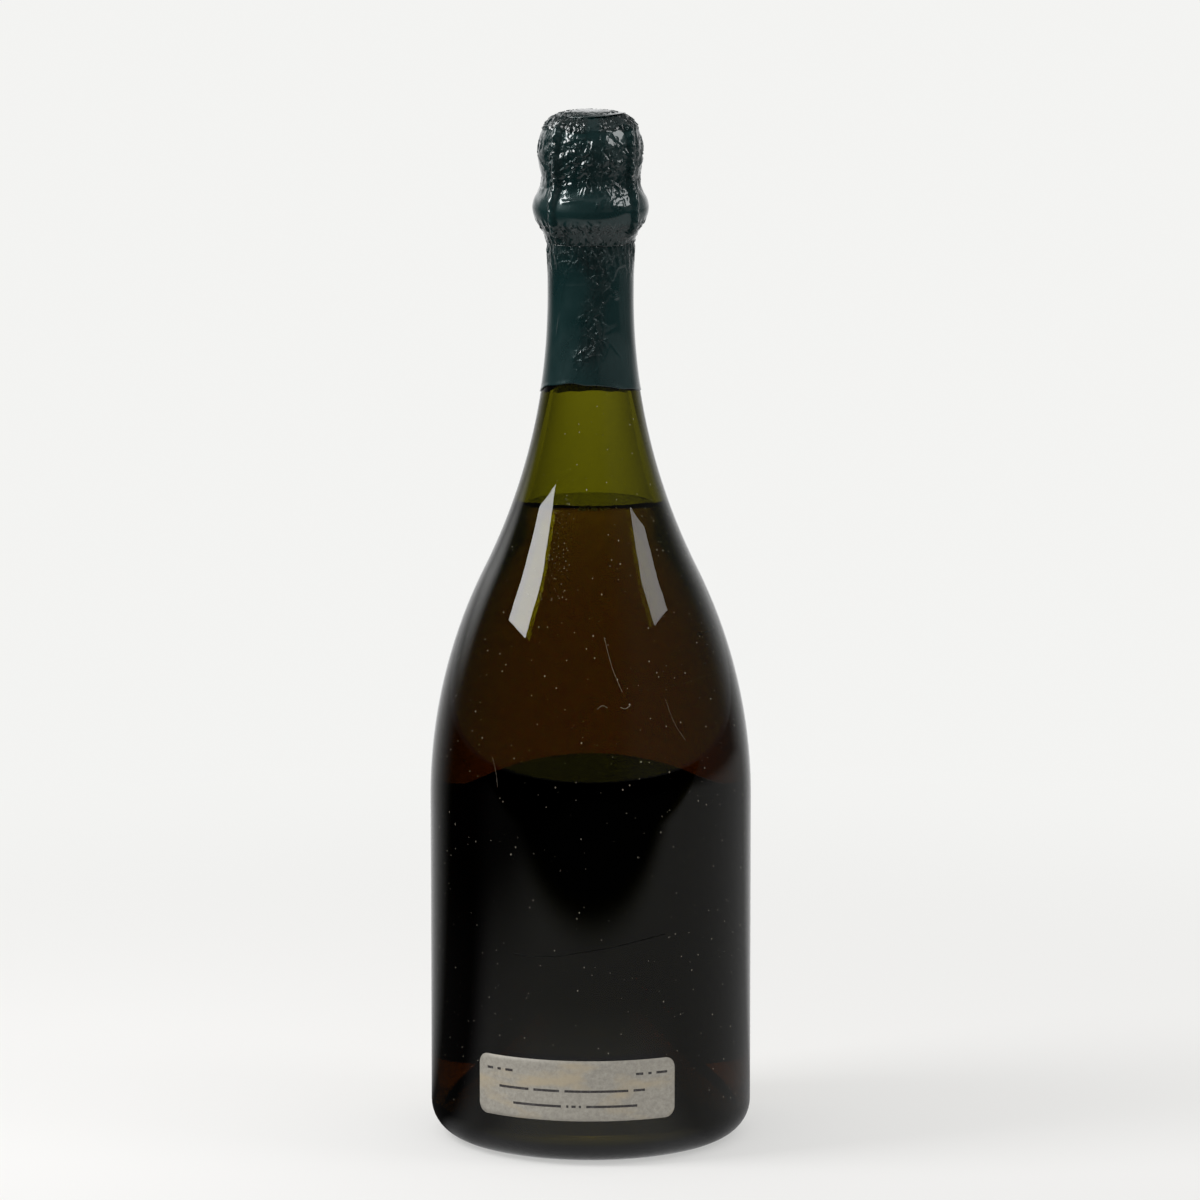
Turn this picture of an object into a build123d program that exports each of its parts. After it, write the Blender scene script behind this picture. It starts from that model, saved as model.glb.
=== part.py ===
"""Sealed and filled bottle of sparkling wine, as its separate pieces.

Lengths are in millimetres and angles in degrees. The bottle stands on its foot ring
at Z = 0 with its axis along +Z. The small back label faces -Y, the large front label
and the folded wire loop face +Y.
"""

import os
from math import acos, asin, cos, degrees, radians, sin, tan

from build123d import *

os.makedirs("parts", exist_ok=True)

# Glass bottle
mouth_height = 274.8
body_radius = 46.0
body_wall = 3.9
heel_rounding = 9.5
shoulder_arc = 149.0
neck_arc = 175.6
neck_length = 20.87
neck_wall = 3.05
bore_radius = 9.0

# Foot and punt
foot_inset = 14.5
foot_rounding = 4.0
punt_slope = 55.76
punt_crown = 7.0
punt_wall = 5.5
punt_rounding = 11.0
base_thickness = 6.0
valley_rounding = 3.0

# Ring and lip at the mouth
ring_step = 3.85
ring_height = 7.6
ring_rounding = 2.7
ring_root_rounding = 0.8
lip_step = 0.25
lip_height = 3.8
lip_rounding = 1.3

# Wine
fill_depth = 91.8
wine_gap = 0.02

# Cork
cork_fit = 0.03
cork_depth = 24.3
cork_disc_thickness = 5.5
cork_chamfer = 0.8
head_overhang = 2.0
head_foot_overhang = 0.8
head_height = 15.6
head_belly_low = 8.2
head_belly_high = 10.2
head_rim_margin = 0.1
crown_inset = 5.3
crown_flare = 0.6
crown_edge_height = 2.3
crown_height = 3.6

# Plaque on the cork
plaque_thickness = 0.35
plaque_gap = 0.3
plaque_bead_radius = 0.4

# Wire cage
wire_radius = 0.5
leg_wire_radius = 0.8
wire_gap = 0.05
cage_ring_gap = 0.15
leg_count = 4
cage_turn = 4.0
leg_top_bend = 2.4
leg_bend = 1.6
leg_step = 3.6
belt_slack = 0.85
belt_drop = 0.8

# Wire loop, folded up at the back
loop_ring_gap = 0.25
loop_head_gap = 0.45
loop_pin_length = 3.0
loop_stem_radius = 0.75
loop_stem_rise = 0.5
loop_width = 8.4
loop_length = 13.5

# Foil
foil_thickness = 0.2
foil_gap = 0.03
foil_slack = 0.25
foil_waist_swell = 0.75
foil_waist_height = 1.8
foil_tear_drop = 5.4
foil_tuck_step = 0.15
foil_tuck_height = 1.4
foil_foot_drop = 24.0
top_disc_thickness = 0.15

# Labels, the back one's turn counted from the front one
label_thickness = 0.12
label_gap = 0.02
back_label_turn = 174.0
back_label_width = 59.6
back_label_height = 17.4
back_label_rise = 3.9
back_label_rounding = 3.0
front_label_turn = 90.0
front_label_width = 92.0
front_label_rise = 4.5
front_label_drop = 3.5
front_label_crest = 8.5
front_label_crest_width = 36.0
front_label_rounding = 2.0


def facing_plane(turn, height):
    """Upright plane through the axis whose normal points a turn away from +X."""
    angle = radians(turn)
    return Plane((0, 0, height), x_dir=(-sin(angle), cos(angle), 0), z_dir=(cos(angle), sin(angle), 0))


def radial_plane(turn):
    """Upright plane through the axis whose X axis points outwards, a turn away from +X."""
    angle = radians(turn)
    return Plane((0, 0, 0), x_dir=(cos(angle), sin(angle), 0), z_dir=(sin(angle), -cos(angle), 0))


def arc_turn(outer_radius, inner_radius, shoulder, neck):
    """Angle through which both arcs turn, so that they meet in one tangent point."""
    return acos(1 - (outer_radius - inner_radius) / (shoulder + neck))


# Heights of the glass: the straight body ends where both arcs and the neck leave off
neck_radius = bore_radius + neck_wall
ring_radius = neck_radius + ring_step
lip_radius = neck_radius + lip_step
foot_radius = body_radius - foot_inset
punt_height = (foot_radius - punt_crown) * tan(radians(punt_slope))
ring_top = mouth_height - lip_height
ring_bottom = ring_top - ring_height
neck_foot = ring_bottom - neck_length
neck_turn = arc_turn(body_radius, neck_radius, shoulder_arc, neck_arc)
body_height = neck_foot - (shoulder_arc + neck_arc) * sin(neck_turn)


def shoulder_and_neck(outer_radius, inner_radius, shoulder, neck):
    """Draw the shoulder arc and the neck arc, and return the height where the neck is straight."""
    turn = arc_turn(outer_radius, inner_radius, shoulder, neck)
    neck_end = body_height + (shoulder + neck) * sin(turn)
    CenterArc((outer_radius - shoulder, body_height), shoulder, 0, degrees(turn))
    CenterArc((inner_radius + neck, neck_end), neck, 180, degrees(turn))
    return neck_end


def cavity_lines(inset):
    """Draw half of the hollow inside the glass, from the punt up, a distance inside its walls."""
    wall_radius = body_radius - body_wall - inset
    throat_radius = bore_radius - inset
    punt_top = punt_height + punt_wall + inset
    floor = base_thickness + inset
    punt_offset = (punt_wall + inset) / sin(radians(punt_slope))
    punt_run = (foot_radius - punt_crown) / punt_height
    crown = foot_radius + punt_offset - punt_top * punt_run
    valley = foot_radius + punt_offset - floor * punt_run
    FilletPolyline(
        (0, punt_top),
        (crown, punt_top),
        (valley, floor),
        (wall_radius, floor),
        (wall_radius, body_height),
        radius=[punt_rounding, valley_rounding, valley_rounding],
    )
    neck_end = shoulder_and_neck(
        wall_radius, throat_radius, shoulder_arc - body_wall - inset, neck_arc + neck_wall + inset
    )
    Polyline((throat_radius, neck_end), (throat_radius, mouth_height), (0, mouth_height), (0, punt_top))


# Glass bottle: one revolved outline, hollowed by the cavity
with BuildPart() as glass_bottle:
    with BuildSketch(Plane.XZ):
        with BuildLine():
            FilletPolyline(
                (0, punt_height),
                (punt_crown, punt_height),
                (foot_radius, 0),
                (body_radius, 0),
                (body_radius, body_height),
                radius=[punt_rounding, foot_rounding, heel_rounding],
            )
            shoulder_and_neck(body_radius, neck_radius, shoulder_arc, neck_arc)
            FilletPolyline(
                (neck_radius, neck_foot),
                (neck_radius, ring_bottom),
                (ring_radius, ring_bottom),
                (ring_radius, ring_top),
                (lip_radius, ring_top),
                (lip_radius, mouth_height),
                (0, mouth_height),
                radius=[ring_root_rounding, ring_rounding, ring_rounding, ring_root_rounding, lip_rounding],
            )
            Line((0, mouth_height), (0, punt_height))
        make_face()
    revolve(axis=Axis.Z)
    with BuildSketch(Plane.XZ):
        with BuildLine():
            cavity_lines(0)
        make_face()
    revolve(axis=Axis.Z, mode=Mode.SUBTRACT)
glass_bottle.part.label = "glass_bottle"
export_step(glass_bottle.part, "parts/glass_bottle.step")

# Wine: the cavity up to the fill line
with BuildPart() as wine:
    with BuildSketch(Plane.XZ):
        with BuildLine():
            cavity_lines(wine_gap)
        make_face()
    revolve(axis=Axis.Z)
    split(bisect_by=Plane.XY.offset(mouth_height - fill_depth), keep=Keep.BOTTOM)
wine.part.label = "wine"
export_step(wine.part, "parts/wine.step")

# Foil round the neck, from its foot on the shoulder up to the tear line
foil_foot_height = neck_foot - foil_foot_drop
foil_tear_height = ring_bottom - foil_tear_drop
sleeve_top = foil_tear_height - foil_gap
sleeve_inner = neck_radius + foil_gap
sleeve_outer = sleeve_inner + foil_thickness
sleeve_inner_arc = neck_arc - foil_gap
sleeve_outer_arc = sleeve_inner_arc - foil_thickness
neck_arc_centre = neck_radius + neck_arc
inner_foot_turn = asin(foil_foot_drop / sleeve_inner_arc)
outer_foot_turn = asin(foil_foot_drop / sleeve_outer_arc)
inner_foot_radius = neck_arc_centre - sleeve_inner_arc * cos(inner_foot_turn)
outer_foot_radius = neck_arc_centre - sleeve_outer_arc * cos(outer_foot_turn)

with BuildPart() as foil_neck:
    with BuildSketch(Plane.XZ):
        with BuildLine():
            CenterArc((neck_arc_centre, neck_foot), sleeve_inner_arc, 180, degrees(inner_foot_turn))
            CenterArc((neck_arc_centre, neck_foot), sleeve_outer_arc, 180, degrees(outer_foot_turn))
            Line((inner_foot_radius, foil_foot_height), (outer_foot_radius, foil_foot_height))
            Polyline(
                (sleeve_inner, neck_foot),
                (sleeve_inner, sleeve_top),
                (sleeve_outer, sleeve_top),
                (sleeve_outer, neck_foot),
            )
        make_face()
    revolve(axis=Axis.Z)
foil_neck.part.label = "foil_neck"
export_step(foil_neck.part, "parts/foil_neck.step")

# Labels: thin bands round the body, trimmed to their outlines
label_inner = body_radius + label_gap
label_outer = label_inner + label_thickness
label_middle = label_inner + label_thickness / 2
back_label_foot = heel_rounding + back_label_rise
back_label_middle = back_label_foot + back_label_height / 2
back_label_half = label_middle * sin(back_label_width / label_middle / 2)
front_label_foot = heel_rounding + front_label_rise
front_label_top = body_height - front_label_drop
front_label_peak = front_label_top + front_label_crest
front_label_half = label_middle * sin(front_label_width / label_middle / 2)
crest_half = front_label_crest_width / 2

with BuildPart() as back_label:
    with BuildSketch(Plane.XY.offset(back_label_foot)):
        Circle(label_outer)
        Circle(label_inner, mode=Mode.SUBTRACT)
    extrude(amount=back_label_height)
    with BuildSketch(facing_plane(front_label_turn + back_label_turn, back_label_middle)):
        RectangleRounded(2 * back_label_half, back_label_height, back_label_rounding)
    extrude(amount=label_outer, mode=Mode.INTERSECT)
back_label.part.label = "back_label"
export_step(back_label.part, "parts/back_label.step")

with BuildPart() as front_label:
    with BuildSketch(Plane.XY.offset(front_label_foot)):
        Circle(label_outer)
        Circle(label_inner, mode=Mode.SUBTRACT)
    extrude(amount=front_label_peak - front_label_foot)
    with BuildSketch(facing_plane(front_label_turn, 0)):
        with BuildLine():
            FilletPolyline(
                (-crest_half, front_label_top),
                (-front_label_half, front_label_top),
                (-front_label_half, front_label_foot),
                (front_label_half, front_label_foot),
                (front_label_half, front_label_top),
                (crest_half, front_label_top),
                radius=front_label_rounding,
            )
            ThreePointArc(
                (-crest_half, front_label_top), (0, front_label_peak), (crest_half, front_label_top)
            )
        make_face()
    extrude(amount=label_outer, mode=Mode.INTERSECT)
front_label.part.label = "front_label"
export_step(front_label.part, "parts/front_label.step")

# Cork: a mushroom of pressed cork with two solid discs glued under it
shank_radius = bore_radius - cork_fit
shank_bottom = mouth_height - cork_depth
disc_joint = shank_bottom + cork_disc_thickness
body_bottom = disc_joint + cork_disc_thickness
head_radius = lip_radius + head_overhang
head_foot_radius = lip_radius + head_foot_overhang
belly_foot = mouth_height + head_belly_low
belly_top = mouth_height + head_belly_high
rim_height = mouth_height + head_height
crown_radius = head_radius - crown_inset
crown_foot_radius = crown_radius + crown_flare
crown_edge = rim_height + crown_edge_height
crown_top = rim_height + crown_height
dome_inner_foot = crown_foot_radius + plaque_gap
dome_outer_foot = dome_inner_foot + plaque_thickness
cage_ring_line = dome_outer_foot + cage_ring_gap + wire_radius
bead_line = cage_ring_line + wire_radius + wire_gap + plaque_bead_radius
head_rim_radius = bead_line + head_rim_margin

with BuildPart() as cork_body:
    with BuildSketch(Plane.XZ):
        with BuildLine():
            TangentArc((0, crown_top), (crown_radius, crown_edge), tangent=(1, 0))
            Polyline(
                (crown_radius, crown_edge),
                (crown_foot_radius, rim_height),
                (head_rim_radius, rim_height),
            )
            TangentArc((head_radius, belly_top), (head_rim_radius, rim_height), tangent=(0, 1))
            Line((head_radius, belly_top), (head_radius, belly_foot))
            TangentArc((head_radius, belly_foot), (head_foot_radius, mouth_height), tangent=(0, -1))
            Polyline(
                (head_foot_radius, mouth_height),
                (shank_radius, mouth_height),
                (shank_radius, body_bottom),
                (0, body_bottom),
                (0, crown_top),
            )
        make_face()
    revolve(axis=Axis.Z)
cork_body.part.label = "cork_body"
export_step(cork_body.part, "parts/cork_body.step")

with BuildPart() as cork_disc_upper:
    with BuildSketch(Plane.XY.offset(disc_joint)):
        Circle(shank_radius)
    extrude(amount=cork_disc_thickness)
cork_disc_upper.part.label = "cork_disc_upper"
export_step(cork_disc_upper.part, "parts/cork_disc_upper.step")

with BuildPart() as cork_disc_lower:
    with BuildSketch(Plane.XY.offset(shank_bottom)):
        Circle(shank_radius)
    extrude(amount=cork_disc_thickness)
    chamfer(cork_disc_lower.edges().sort_by(Axis.Z)[0], length=cork_chamfer)
cork_disc_lower.part.label = "cork_disc_lower"
export_step(cork_disc_lower.part, "parts/cork_disc_lower.step")

# Plaque: a pressed cap over the cork's crown, with a gutter for the wire ring and a rolled bead
plaque_lift = plaque_gap + plaque_thickness
dome_inner_edge = crown_radius + plaque_gap
dome_outer_edge = dome_inner_edge + plaque_thickness
dome_inner_level = crown_edge + plaque_gap
dome_level = crown_edge + plaque_lift
crown_level = crown_top + plaque_lift
gutter_top = rim_height + plaque_thickness
bead_height = rim_height + plaque_bead_radius

with BuildPart() as plaque:
    with BuildSketch(Plane.XZ):
        with BuildLine():
            TangentArc((0, crown_level), (dome_outer_edge, dome_level), tangent=(1, 0))
            Polyline(
                (dome_outer_edge, dome_level),
                (dome_outer_foot, gutter_top),
                (bead_line, gutter_top),
                (bead_line, rim_height),
                (dome_inner_foot, rim_height),
                (dome_inner_edge, dome_inner_level),
            )
            TangentArc((0, crown_top + plaque_gap), (dome_inner_edge, dome_inner_level), tangent=(1, 0))
            Line((0, crown_top + plaque_gap), (0, crown_level))
        make_face()
        with Locations((bead_line, bead_height)):
            Circle(plaque_bead_radius)
    revolve(axis=Axis.Z)
plaque.part.label = "plaque"
export_step(plaque.part, "parts/plaque.step")

# Wire cage: ring on the plaque, four twisted legs and the belt under the glass ring
cage_ring_height = gutter_top + wire_gap + wire_radius
belt_line = neck_radius + belt_slack + wire_radius
belt_height = ring_bottom - belt_drop

with BuildPart() as cage_ring:
    with Locations((0, 0, cage_ring_height)):
        Torus(cage_ring_line, wire_radius)
cage_ring.part.label = "cage_ring"
export_step(cage_ring.part, "parts/cage_ring.step")

leg_reach = wire_gap + leg_wire_radius
leg_start = cage_ring_line + wire_radius + wire_gap
leg_top = bead_height + plaque_bead_radius + leg_reach
leg_line = head_radius + leg_reach
leg_ring_line = ring_radius + leg_reach
leg_hook = leg_ring_line - leg_bend
leg_foot = belt_height - wire_radius - wire_gap - leg_reach
leg_radii = [leg_top_bend, leg_bend, leg_bend, leg_bend, leg_bend]


def leg_points(inner_end, foot_end):
    """Points of a leg's middle line as radius and height, from the top ring to its hook under the belt."""
    return [
        (inner_end, leg_top),
        (leg_line, leg_top),
        (leg_line, ring_top + leg_step),
        (leg_ring_line, ring_top),
        (leg_ring_line, ring_bottom + leg_bend),
        (leg_hook, leg_foot),
        (foot_end, leg_foot),
    ]


def leg_turn(index):
    """Direction of a leg, counted from +X."""
    return (index + 1 / 2) * 360 / leg_count + cage_turn


for index in range(leg_count):
    with BuildPart() as cage_leg:
        with BuildLine(radial_plane(leg_turn(index))) as leg_path:
            FilletPolyline(*leg_points(leg_start, belt_line), radius=leg_radii)
        with BuildSketch(Plane(leg_path.line @ 0, z_dir=leg_path.line % 0)):
            Circle(leg_wire_radius)
        sweep(path=leg_path.line)
    cage_leg.part.label = f"cage_leg_{index + 1}"
    export_step(cage_leg.part, f"parts/cage_leg_{index + 1}.step")

# The belt's twisted ends stand out at the back, towards the loop
loop_swing_line = ring_radius + loop_ring_gap + loop_stem_radius
belt_tail_end = loop_swing_line - loop_stem_radius - wire_gap

with BuildPart() as cage_belt:
    with Locations((0, 0, belt_height)):
        Torus(belt_line, wire_radius)
    with BuildSketch(Plane.XZ.offset(-belt_line)):
        with Locations((0, belt_height)):
            Circle(wire_radius)
    extrude(amount=belt_line - belt_tail_end)
cage_belt.part.label = "cage_belt"
export_step(cage_belt.part, "parts/cage_belt.step")

# Wire loop: pin across its foot, twisted stem and an eye that leans towards the cork
stem_length = ring_top + loop_stem_rise - belt_height
eye_bend = loop_width / 2
eye_height = loop_length - eye_bend
eye_lean = asin((loop_swing_line - wire_radius - loop_head_gap - head_radius) / loop_length)
eye_plane = Plane(
    origin=(0, loop_swing_line, belt_height + stem_length),
    x_dir=(-1, 0, 0),
    z_dir=(0, cos(eye_lean), sin(eye_lean)),
)

with BuildPart() as wire_loop:
    with BuildSketch(Plane.YZ.offset(-loop_pin_length / 2)):
        with Locations((loop_swing_line, belt_height)):
            Circle(loop_stem_radius)
    extrude(amount=loop_pin_length)
    with BuildSketch(Plane.XY.offset(belt_height)):
        with Locations((0, loop_swing_line)):
            Circle(loop_stem_radius)
    extrude(amount=stem_length)
    with BuildLine(eye_plane) as eye_path:
        Line((-eye_bend, eye_bend), (-eye_bend, eye_height))
        ThreePointArc((-eye_bend, eye_height), (0, loop_length), (eye_bend, eye_height))
        Line((eye_bend, eye_height), (eye_bend, eye_bend))
        ThreePointArc((eye_bend, eye_bend), (0, 0), (-eye_bend, eye_bend))
    with BuildSketch(Plane(eye_path.line @ 0, z_dir=eye_path.line % 0)):
        Circle(wire_radius)
    sweep(path=eye_path.line)
wire_loop.part.label = "wire_loop"
export_step(wire_loop.part, "parts/wire_loop.step")

# Foil hood: drawn over the pieces below it, pressed over the legs and the loop
shoulder_step = head_radius - head_rim_radius
shoulder_radius = (shoulder_step**2 + (rim_height - belly_top) ** 2) / shoulder_step / 2
shoulder_slope = radians(30)
shoulder_line = head_radius - shoulder_radius * (1 - cos(shoulder_slope))
shoulder_level = belly_top + shoulder_radius * sin(shoulder_slope)
waist_line = head_foot_radius + foil_waist_swell
tuck_line = neck_radius + foil_tuck_step
corner_share = cos(radians(45))
ring_corner_drop = ring_rounding * (1 - corner_share)
ring_corner_line = ring_radius - ring_corner_drop


def hood_lines(cover):
    """Draw half of the hood's outline, a cover outwards from the pieces below it."""
    slant = cover * corner_share
    crown_end = (dome_outer_edge, dome_level + cover)
    foot_end = (neck_radius + foil_gap + cover - foil_slack, foil_tear_height)
    TangentArc((0, crown_level + cover), crown_end, tangent=(1, 0))
    Spline(
        crown_end,
        (bead_line + plaque_bead_radius + cover, bead_height),
        (shoulder_line + cover * cos(shoulder_slope), shoulder_level + cover * sin(shoulder_slope)),
        (head_radius + cover, (belly_foot + belly_top) / 2),
        (waist_line + cover - foil_slack, mouth_height + foil_waist_height),
        (ring_corner_line + slant, ring_top - ring_corner_drop + slant),
        (ring_radius + cover, ring_top - ring_rounding),
        (ring_radius + cover, ring_bottom + ring_rounding),
        (ring_corner_line + slant, ring_bottom + ring_corner_drop - slant),
        (belt_line + wire_radius + cover, belt_height),
        (tuck_line + cover, foil_tear_height + foil_tuck_height),
        foot_end,
    )
    Polyline(foot_end, (0, foil_tear_height), (0, crown_level + cover))


loop_seat = loop_swing_line - head_foot_radius
loop_seat_middle = head_foot_radius + loop_seat / 2

with BuildPart() as foil_hood:
    for cover, mode in ((foil_slack + foil_thickness, Mode.ADD), (foil_slack, Mode.SUBTRACT)):
        with BuildSketch(Plane.XZ):
            with BuildLine():
                hood_lines(cover)
            make_face()
        revolve(axis=Axis.Z, mode=mode)
        for index in range(leg_count):
            with BuildLine(radial_plane(leg_turn(index))) as ridge_path:
                FilletPolyline(*leg_points(crown_radius, tuck_line), radius=leg_radii)
            with BuildSketch(Plane(ridge_path.line @ 0, z_dir=ridge_path.line % 0)):
                Circle(leg_wire_radius + cover)
            sweep(path=ridge_path.line, mode=mode)
        stem_cover = loop_stem_radius + cover
        eye_cover = wire_radius + cover
        with BuildSketch(Plane.XY.offset(belt_height - stem_cover)):
            with Locations((0, loop_swing_line)):
                Circle(stem_cover)
            with Locations((0, loop_seat_middle)):
                Rectangle(2 * stem_cover, loop_seat)
        extrude(amount=stem_length + stem_cover, mode=mode)
        with BuildSketch(Plane.YZ.offset(-loop_pin_length / 2 - cover)):
            with Locations((loop_swing_line, belt_height)):
                Circle(stem_cover)
            with Locations((loop_seat_middle, belt_height)):
                Rectangle(loop_seat, 2 * stem_cover)
        extrude(amount=loop_pin_length + 2 * cover, mode=mode)
        with BuildSketch(eye_plane.offset(eye_cover)):
            with Locations((0, loop_length / 2)):
                SlotOverall(loop_length + 2 * eye_cover, loop_width + 2 * eye_cover, rotation=90)
        extrude(amount=-eye_cover - loop_seat, mode=mode)
foil_hood.part.label = "foil_hood"
export_step(foil_hood.part, "parts/foil_hood.step")

# Round foil disc pressed on the hood's crown
disc_lift = foil_slack + foil_thickness + foil_gap
disc_low = dome_level + disc_lift
disc_high = disc_low + top_disc_thickness
disc_crown_low = crown_level + disc_lift
disc_crown_high = disc_crown_low + top_disc_thickness

with BuildPart() as foil_top_disc:
    with BuildSketch(Plane.XZ):
        with BuildLine():
            TangentArc((0, disc_crown_high), (dome_outer_edge, disc_high), tangent=(1, 0))
            Line((dome_outer_edge, disc_high), (dome_outer_edge, disc_low))
            TangentArc((0, disc_crown_low), (dome_outer_edge, disc_low), tangent=(1, 0))
            Line((0, disc_crown_low), (0, disc_crown_high))
        make_face()
    revolve(axis=Axis.Z)
foil_top_disc.part.label = "foil_top_disc"
export_step(foil_top_disc.part, "parts/foil_top_disc.step")
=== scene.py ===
from math import acos, cos, exp, pi, radians, sin

import bmesh
import bpy
import numpy as np
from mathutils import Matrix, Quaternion, Vector, noise


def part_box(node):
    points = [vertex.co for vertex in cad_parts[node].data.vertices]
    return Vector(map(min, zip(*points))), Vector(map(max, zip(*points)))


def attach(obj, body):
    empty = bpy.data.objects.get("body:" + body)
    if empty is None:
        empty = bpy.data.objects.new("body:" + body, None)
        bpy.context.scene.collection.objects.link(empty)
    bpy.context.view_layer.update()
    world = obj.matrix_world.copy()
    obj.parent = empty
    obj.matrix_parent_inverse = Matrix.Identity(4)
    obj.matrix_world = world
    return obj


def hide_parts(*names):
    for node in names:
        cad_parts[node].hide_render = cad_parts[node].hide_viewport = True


bl_info = {
    "name": "Champagne Bottle",
    "version": (1, 0, 0),
    "blender": (4, 5, 0),
    "location": "View3D > Sidebar > Bottle",
    "description": "Builds a filled bottle of sparkling wine with its foil, cork, wire cage and labels",
    "category": "Add Mesh",
}

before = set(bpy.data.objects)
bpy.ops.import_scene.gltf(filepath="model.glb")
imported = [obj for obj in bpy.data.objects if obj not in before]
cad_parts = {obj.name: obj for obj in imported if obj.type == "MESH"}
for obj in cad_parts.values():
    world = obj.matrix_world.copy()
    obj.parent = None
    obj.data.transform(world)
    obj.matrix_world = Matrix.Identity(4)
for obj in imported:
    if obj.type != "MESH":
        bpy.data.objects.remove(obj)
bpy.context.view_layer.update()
GLASS_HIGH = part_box("glass_bottle")[1]
WINE_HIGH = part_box("wine")[1]
HOOD_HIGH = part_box("foil_hood")[1]
NECK_FOIL_LOW, NECK_FOIL_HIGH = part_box("foil_neck")
BELT_LOW, BELT_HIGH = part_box("cage_belt")
BACK_LOW, BACK_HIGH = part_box("back_label")
FRONT_LOW, FRONT_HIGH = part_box("front_label")

MM = 0.001
LEG_RADIUS = 0.8 * MM
SENSOR_WIDTH = 36
FRONT = -pi / 2
BACK = pi / 2

# Roundings of the glass
PUNT_ROUNDING = 11 * MM
VALLEY_ROUNDING = 3 * MM
FOOT_ROUNDING = 4 * MM
RING_ROUNDING = 2.7 * MM
LIP_ROUNDING = 1.3 * MM
MOUTH_ROUNDING = 0.4 * MM
CORNER_ROUNDING = 0.8 * MM


def length(name, description, default):
    """Property of a length in metres."""
    return bpy.props.FloatProperty(
        name=name, description=description, default=default, min=0, precision=5, unit="LENGTH"
    )


def colour(name, description, default):
    """Property of a colour."""
    return bpy.props.FloatVectorProperty(
        name=name, description=description, default=default, size=3, min=0, max=1, subtype="COLOR"
    )


class GlassSettings(bpy.types.PropertyGroup):
    """Sizes of the glass and the wine."""

    body_radius: length("Body radius", "Radius of the straight body", GLASS_HIGH.x)
    mouth_height: length("Mouth height", "Height of the glass mouth", GLASS_HIGH.z)
    body_wall: length("Body wall", "Wall of the straight body", 3.9 * MM)
    heel_rounding: length("Heel rounding", "Rounding between body and foot", 9.5 * MM)
    shoulder_arc: length("Shoulder arc", "Radius of the shoulder's curve", 149 * MM)
    neck_arc: length("Neck arc", "Radius of the curve from shoulder to neck", 175.6 * MM)
    neck_length: length("Neck length", "Straight neck under the ring", 20.87 * MM)
    neck_wall: length("Neck wall", "Wall of the neck", 3.05 * MM)
    bore_radius: length("Bore radius", "Radius of the bore that holds the cork", 9 * MM)
    foot_inset: length("Foot inset", "From the body's side in to the punt", 14.5 * MM)
    punt_height: length("Punt height", "Height of the punt", 36 * MM)
    punt_crown: length("Punt crown", "Radius of the punt's crown", 7 * MM)
    punt_wall: length("Punt wall", "Glass over the punt", 5.5 * MM)
    base_thickness: length("Base thickness", "Glass over the foot ring", 6 * MM)
    ring_step: length("Ring step", "How far the ring stands out of the neck", 3.85 * MM)
    ring_height: length("Ring height", "Height of the ring", 7.6 * MM)
    lip_step: length("Lip step", "How far the lip stands out of the neck", 0.25 * MM)
    lip_height: length("Lip height", "Height of the lip over the ring", 3.8 * MM)
    fill_height: length("Fill height", "Height of the wine's surface", WINE_HIGH.z)
    wine_overlap: length("Wine overlap", "How far the wine reaches into the glass", 0.15 * MM)
    meniscus: length("Meniscus", "How far the wine climbs the wall", 1.8 * MM)

    @property
    def neck_radius(self):
        """Outer radius of the neck."""
        return self.bore_radius + self.neck_wall


class FoilSettings(bpy.types.PropertyGroup):
    """Sizes of the foil."""

    thickness: length("Thickness", "Thickness of the foil", 0.12 * MM)
    gap: length("Clearance", "Between the neck and its foil", 0.05 * MM)
    crumple: length("Crumple", "Depth of the fine creases", 0.16 * MM)
    fold: length("Fold", "Depth of the long folds", 0.30 * MM)
    rope_pitch: length("Rope pitch", "Pitch of the wire's twist as it shows in the foil", 2.3 * MM)
    wave: length("Wave", "Height of the waves in the foil's lower edge", 0.9 * MM)
    hang: length("Hang", "How far the foil's lower edge hangs down at the back", 5.0 * MM)
    seed: bpy.props.IntProperty(name="Seed", description="Seed of the folds", default=11)


class WireSettings(bpy.types.PropertyGroup):
    """Sizes of the wire cage."""

    strand_radius: length("Strand radius", "Radius of one strand", 0.42 * MM)
    loop_strand_radius: length("Loop strand radius", "Radius of one strand of the loop's stem", 0.37 * MM)
    pitch: length("Pitch", "Length of one full twist", 4.4 * MM)
    leg_count: bpy.props.IntProperty(name="Legs", description="Number of legs", default=4)
    cage_turn: bpy.props.FloatProperty(
        name="Cage turn", description="Turn of the cage about the bottle", default=radians(4), subtype="ANGLE"
    )


class LabelSettings(bpy.types.PropertyGroup):
    """Sizes of the labels."""

    gap: length("Clearance", "Between the glass and a label", 0.02 * MM)
    thickness: length("Thickness", "Thickness of the paper", 0.12 * MM)
    back_width: length("Back width", "Width of the back label round the glass", 59.6 * MM)
    back_turn: bpy.props.FloatProperty(
        name="Back turn", description="Direction of the back label", default=radians(-96), subtype="ANGLE"
    )
    back_rounding: length("Back rounding", "Rounding of the back label's corners", 3 * MM)
    front_width: length("Front width", "Width of the front label round the glass", 92 * MM)
    front_crest: length("Front crest", "Height of the front label's arched top", 8.5 * MM)
    front_crest_width: length("Front crest width", "Width of that arch", 36 * MM)
    front_rounding: length("Front rounding", "Rounding of the front label's corners", 2 * MM)


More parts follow.
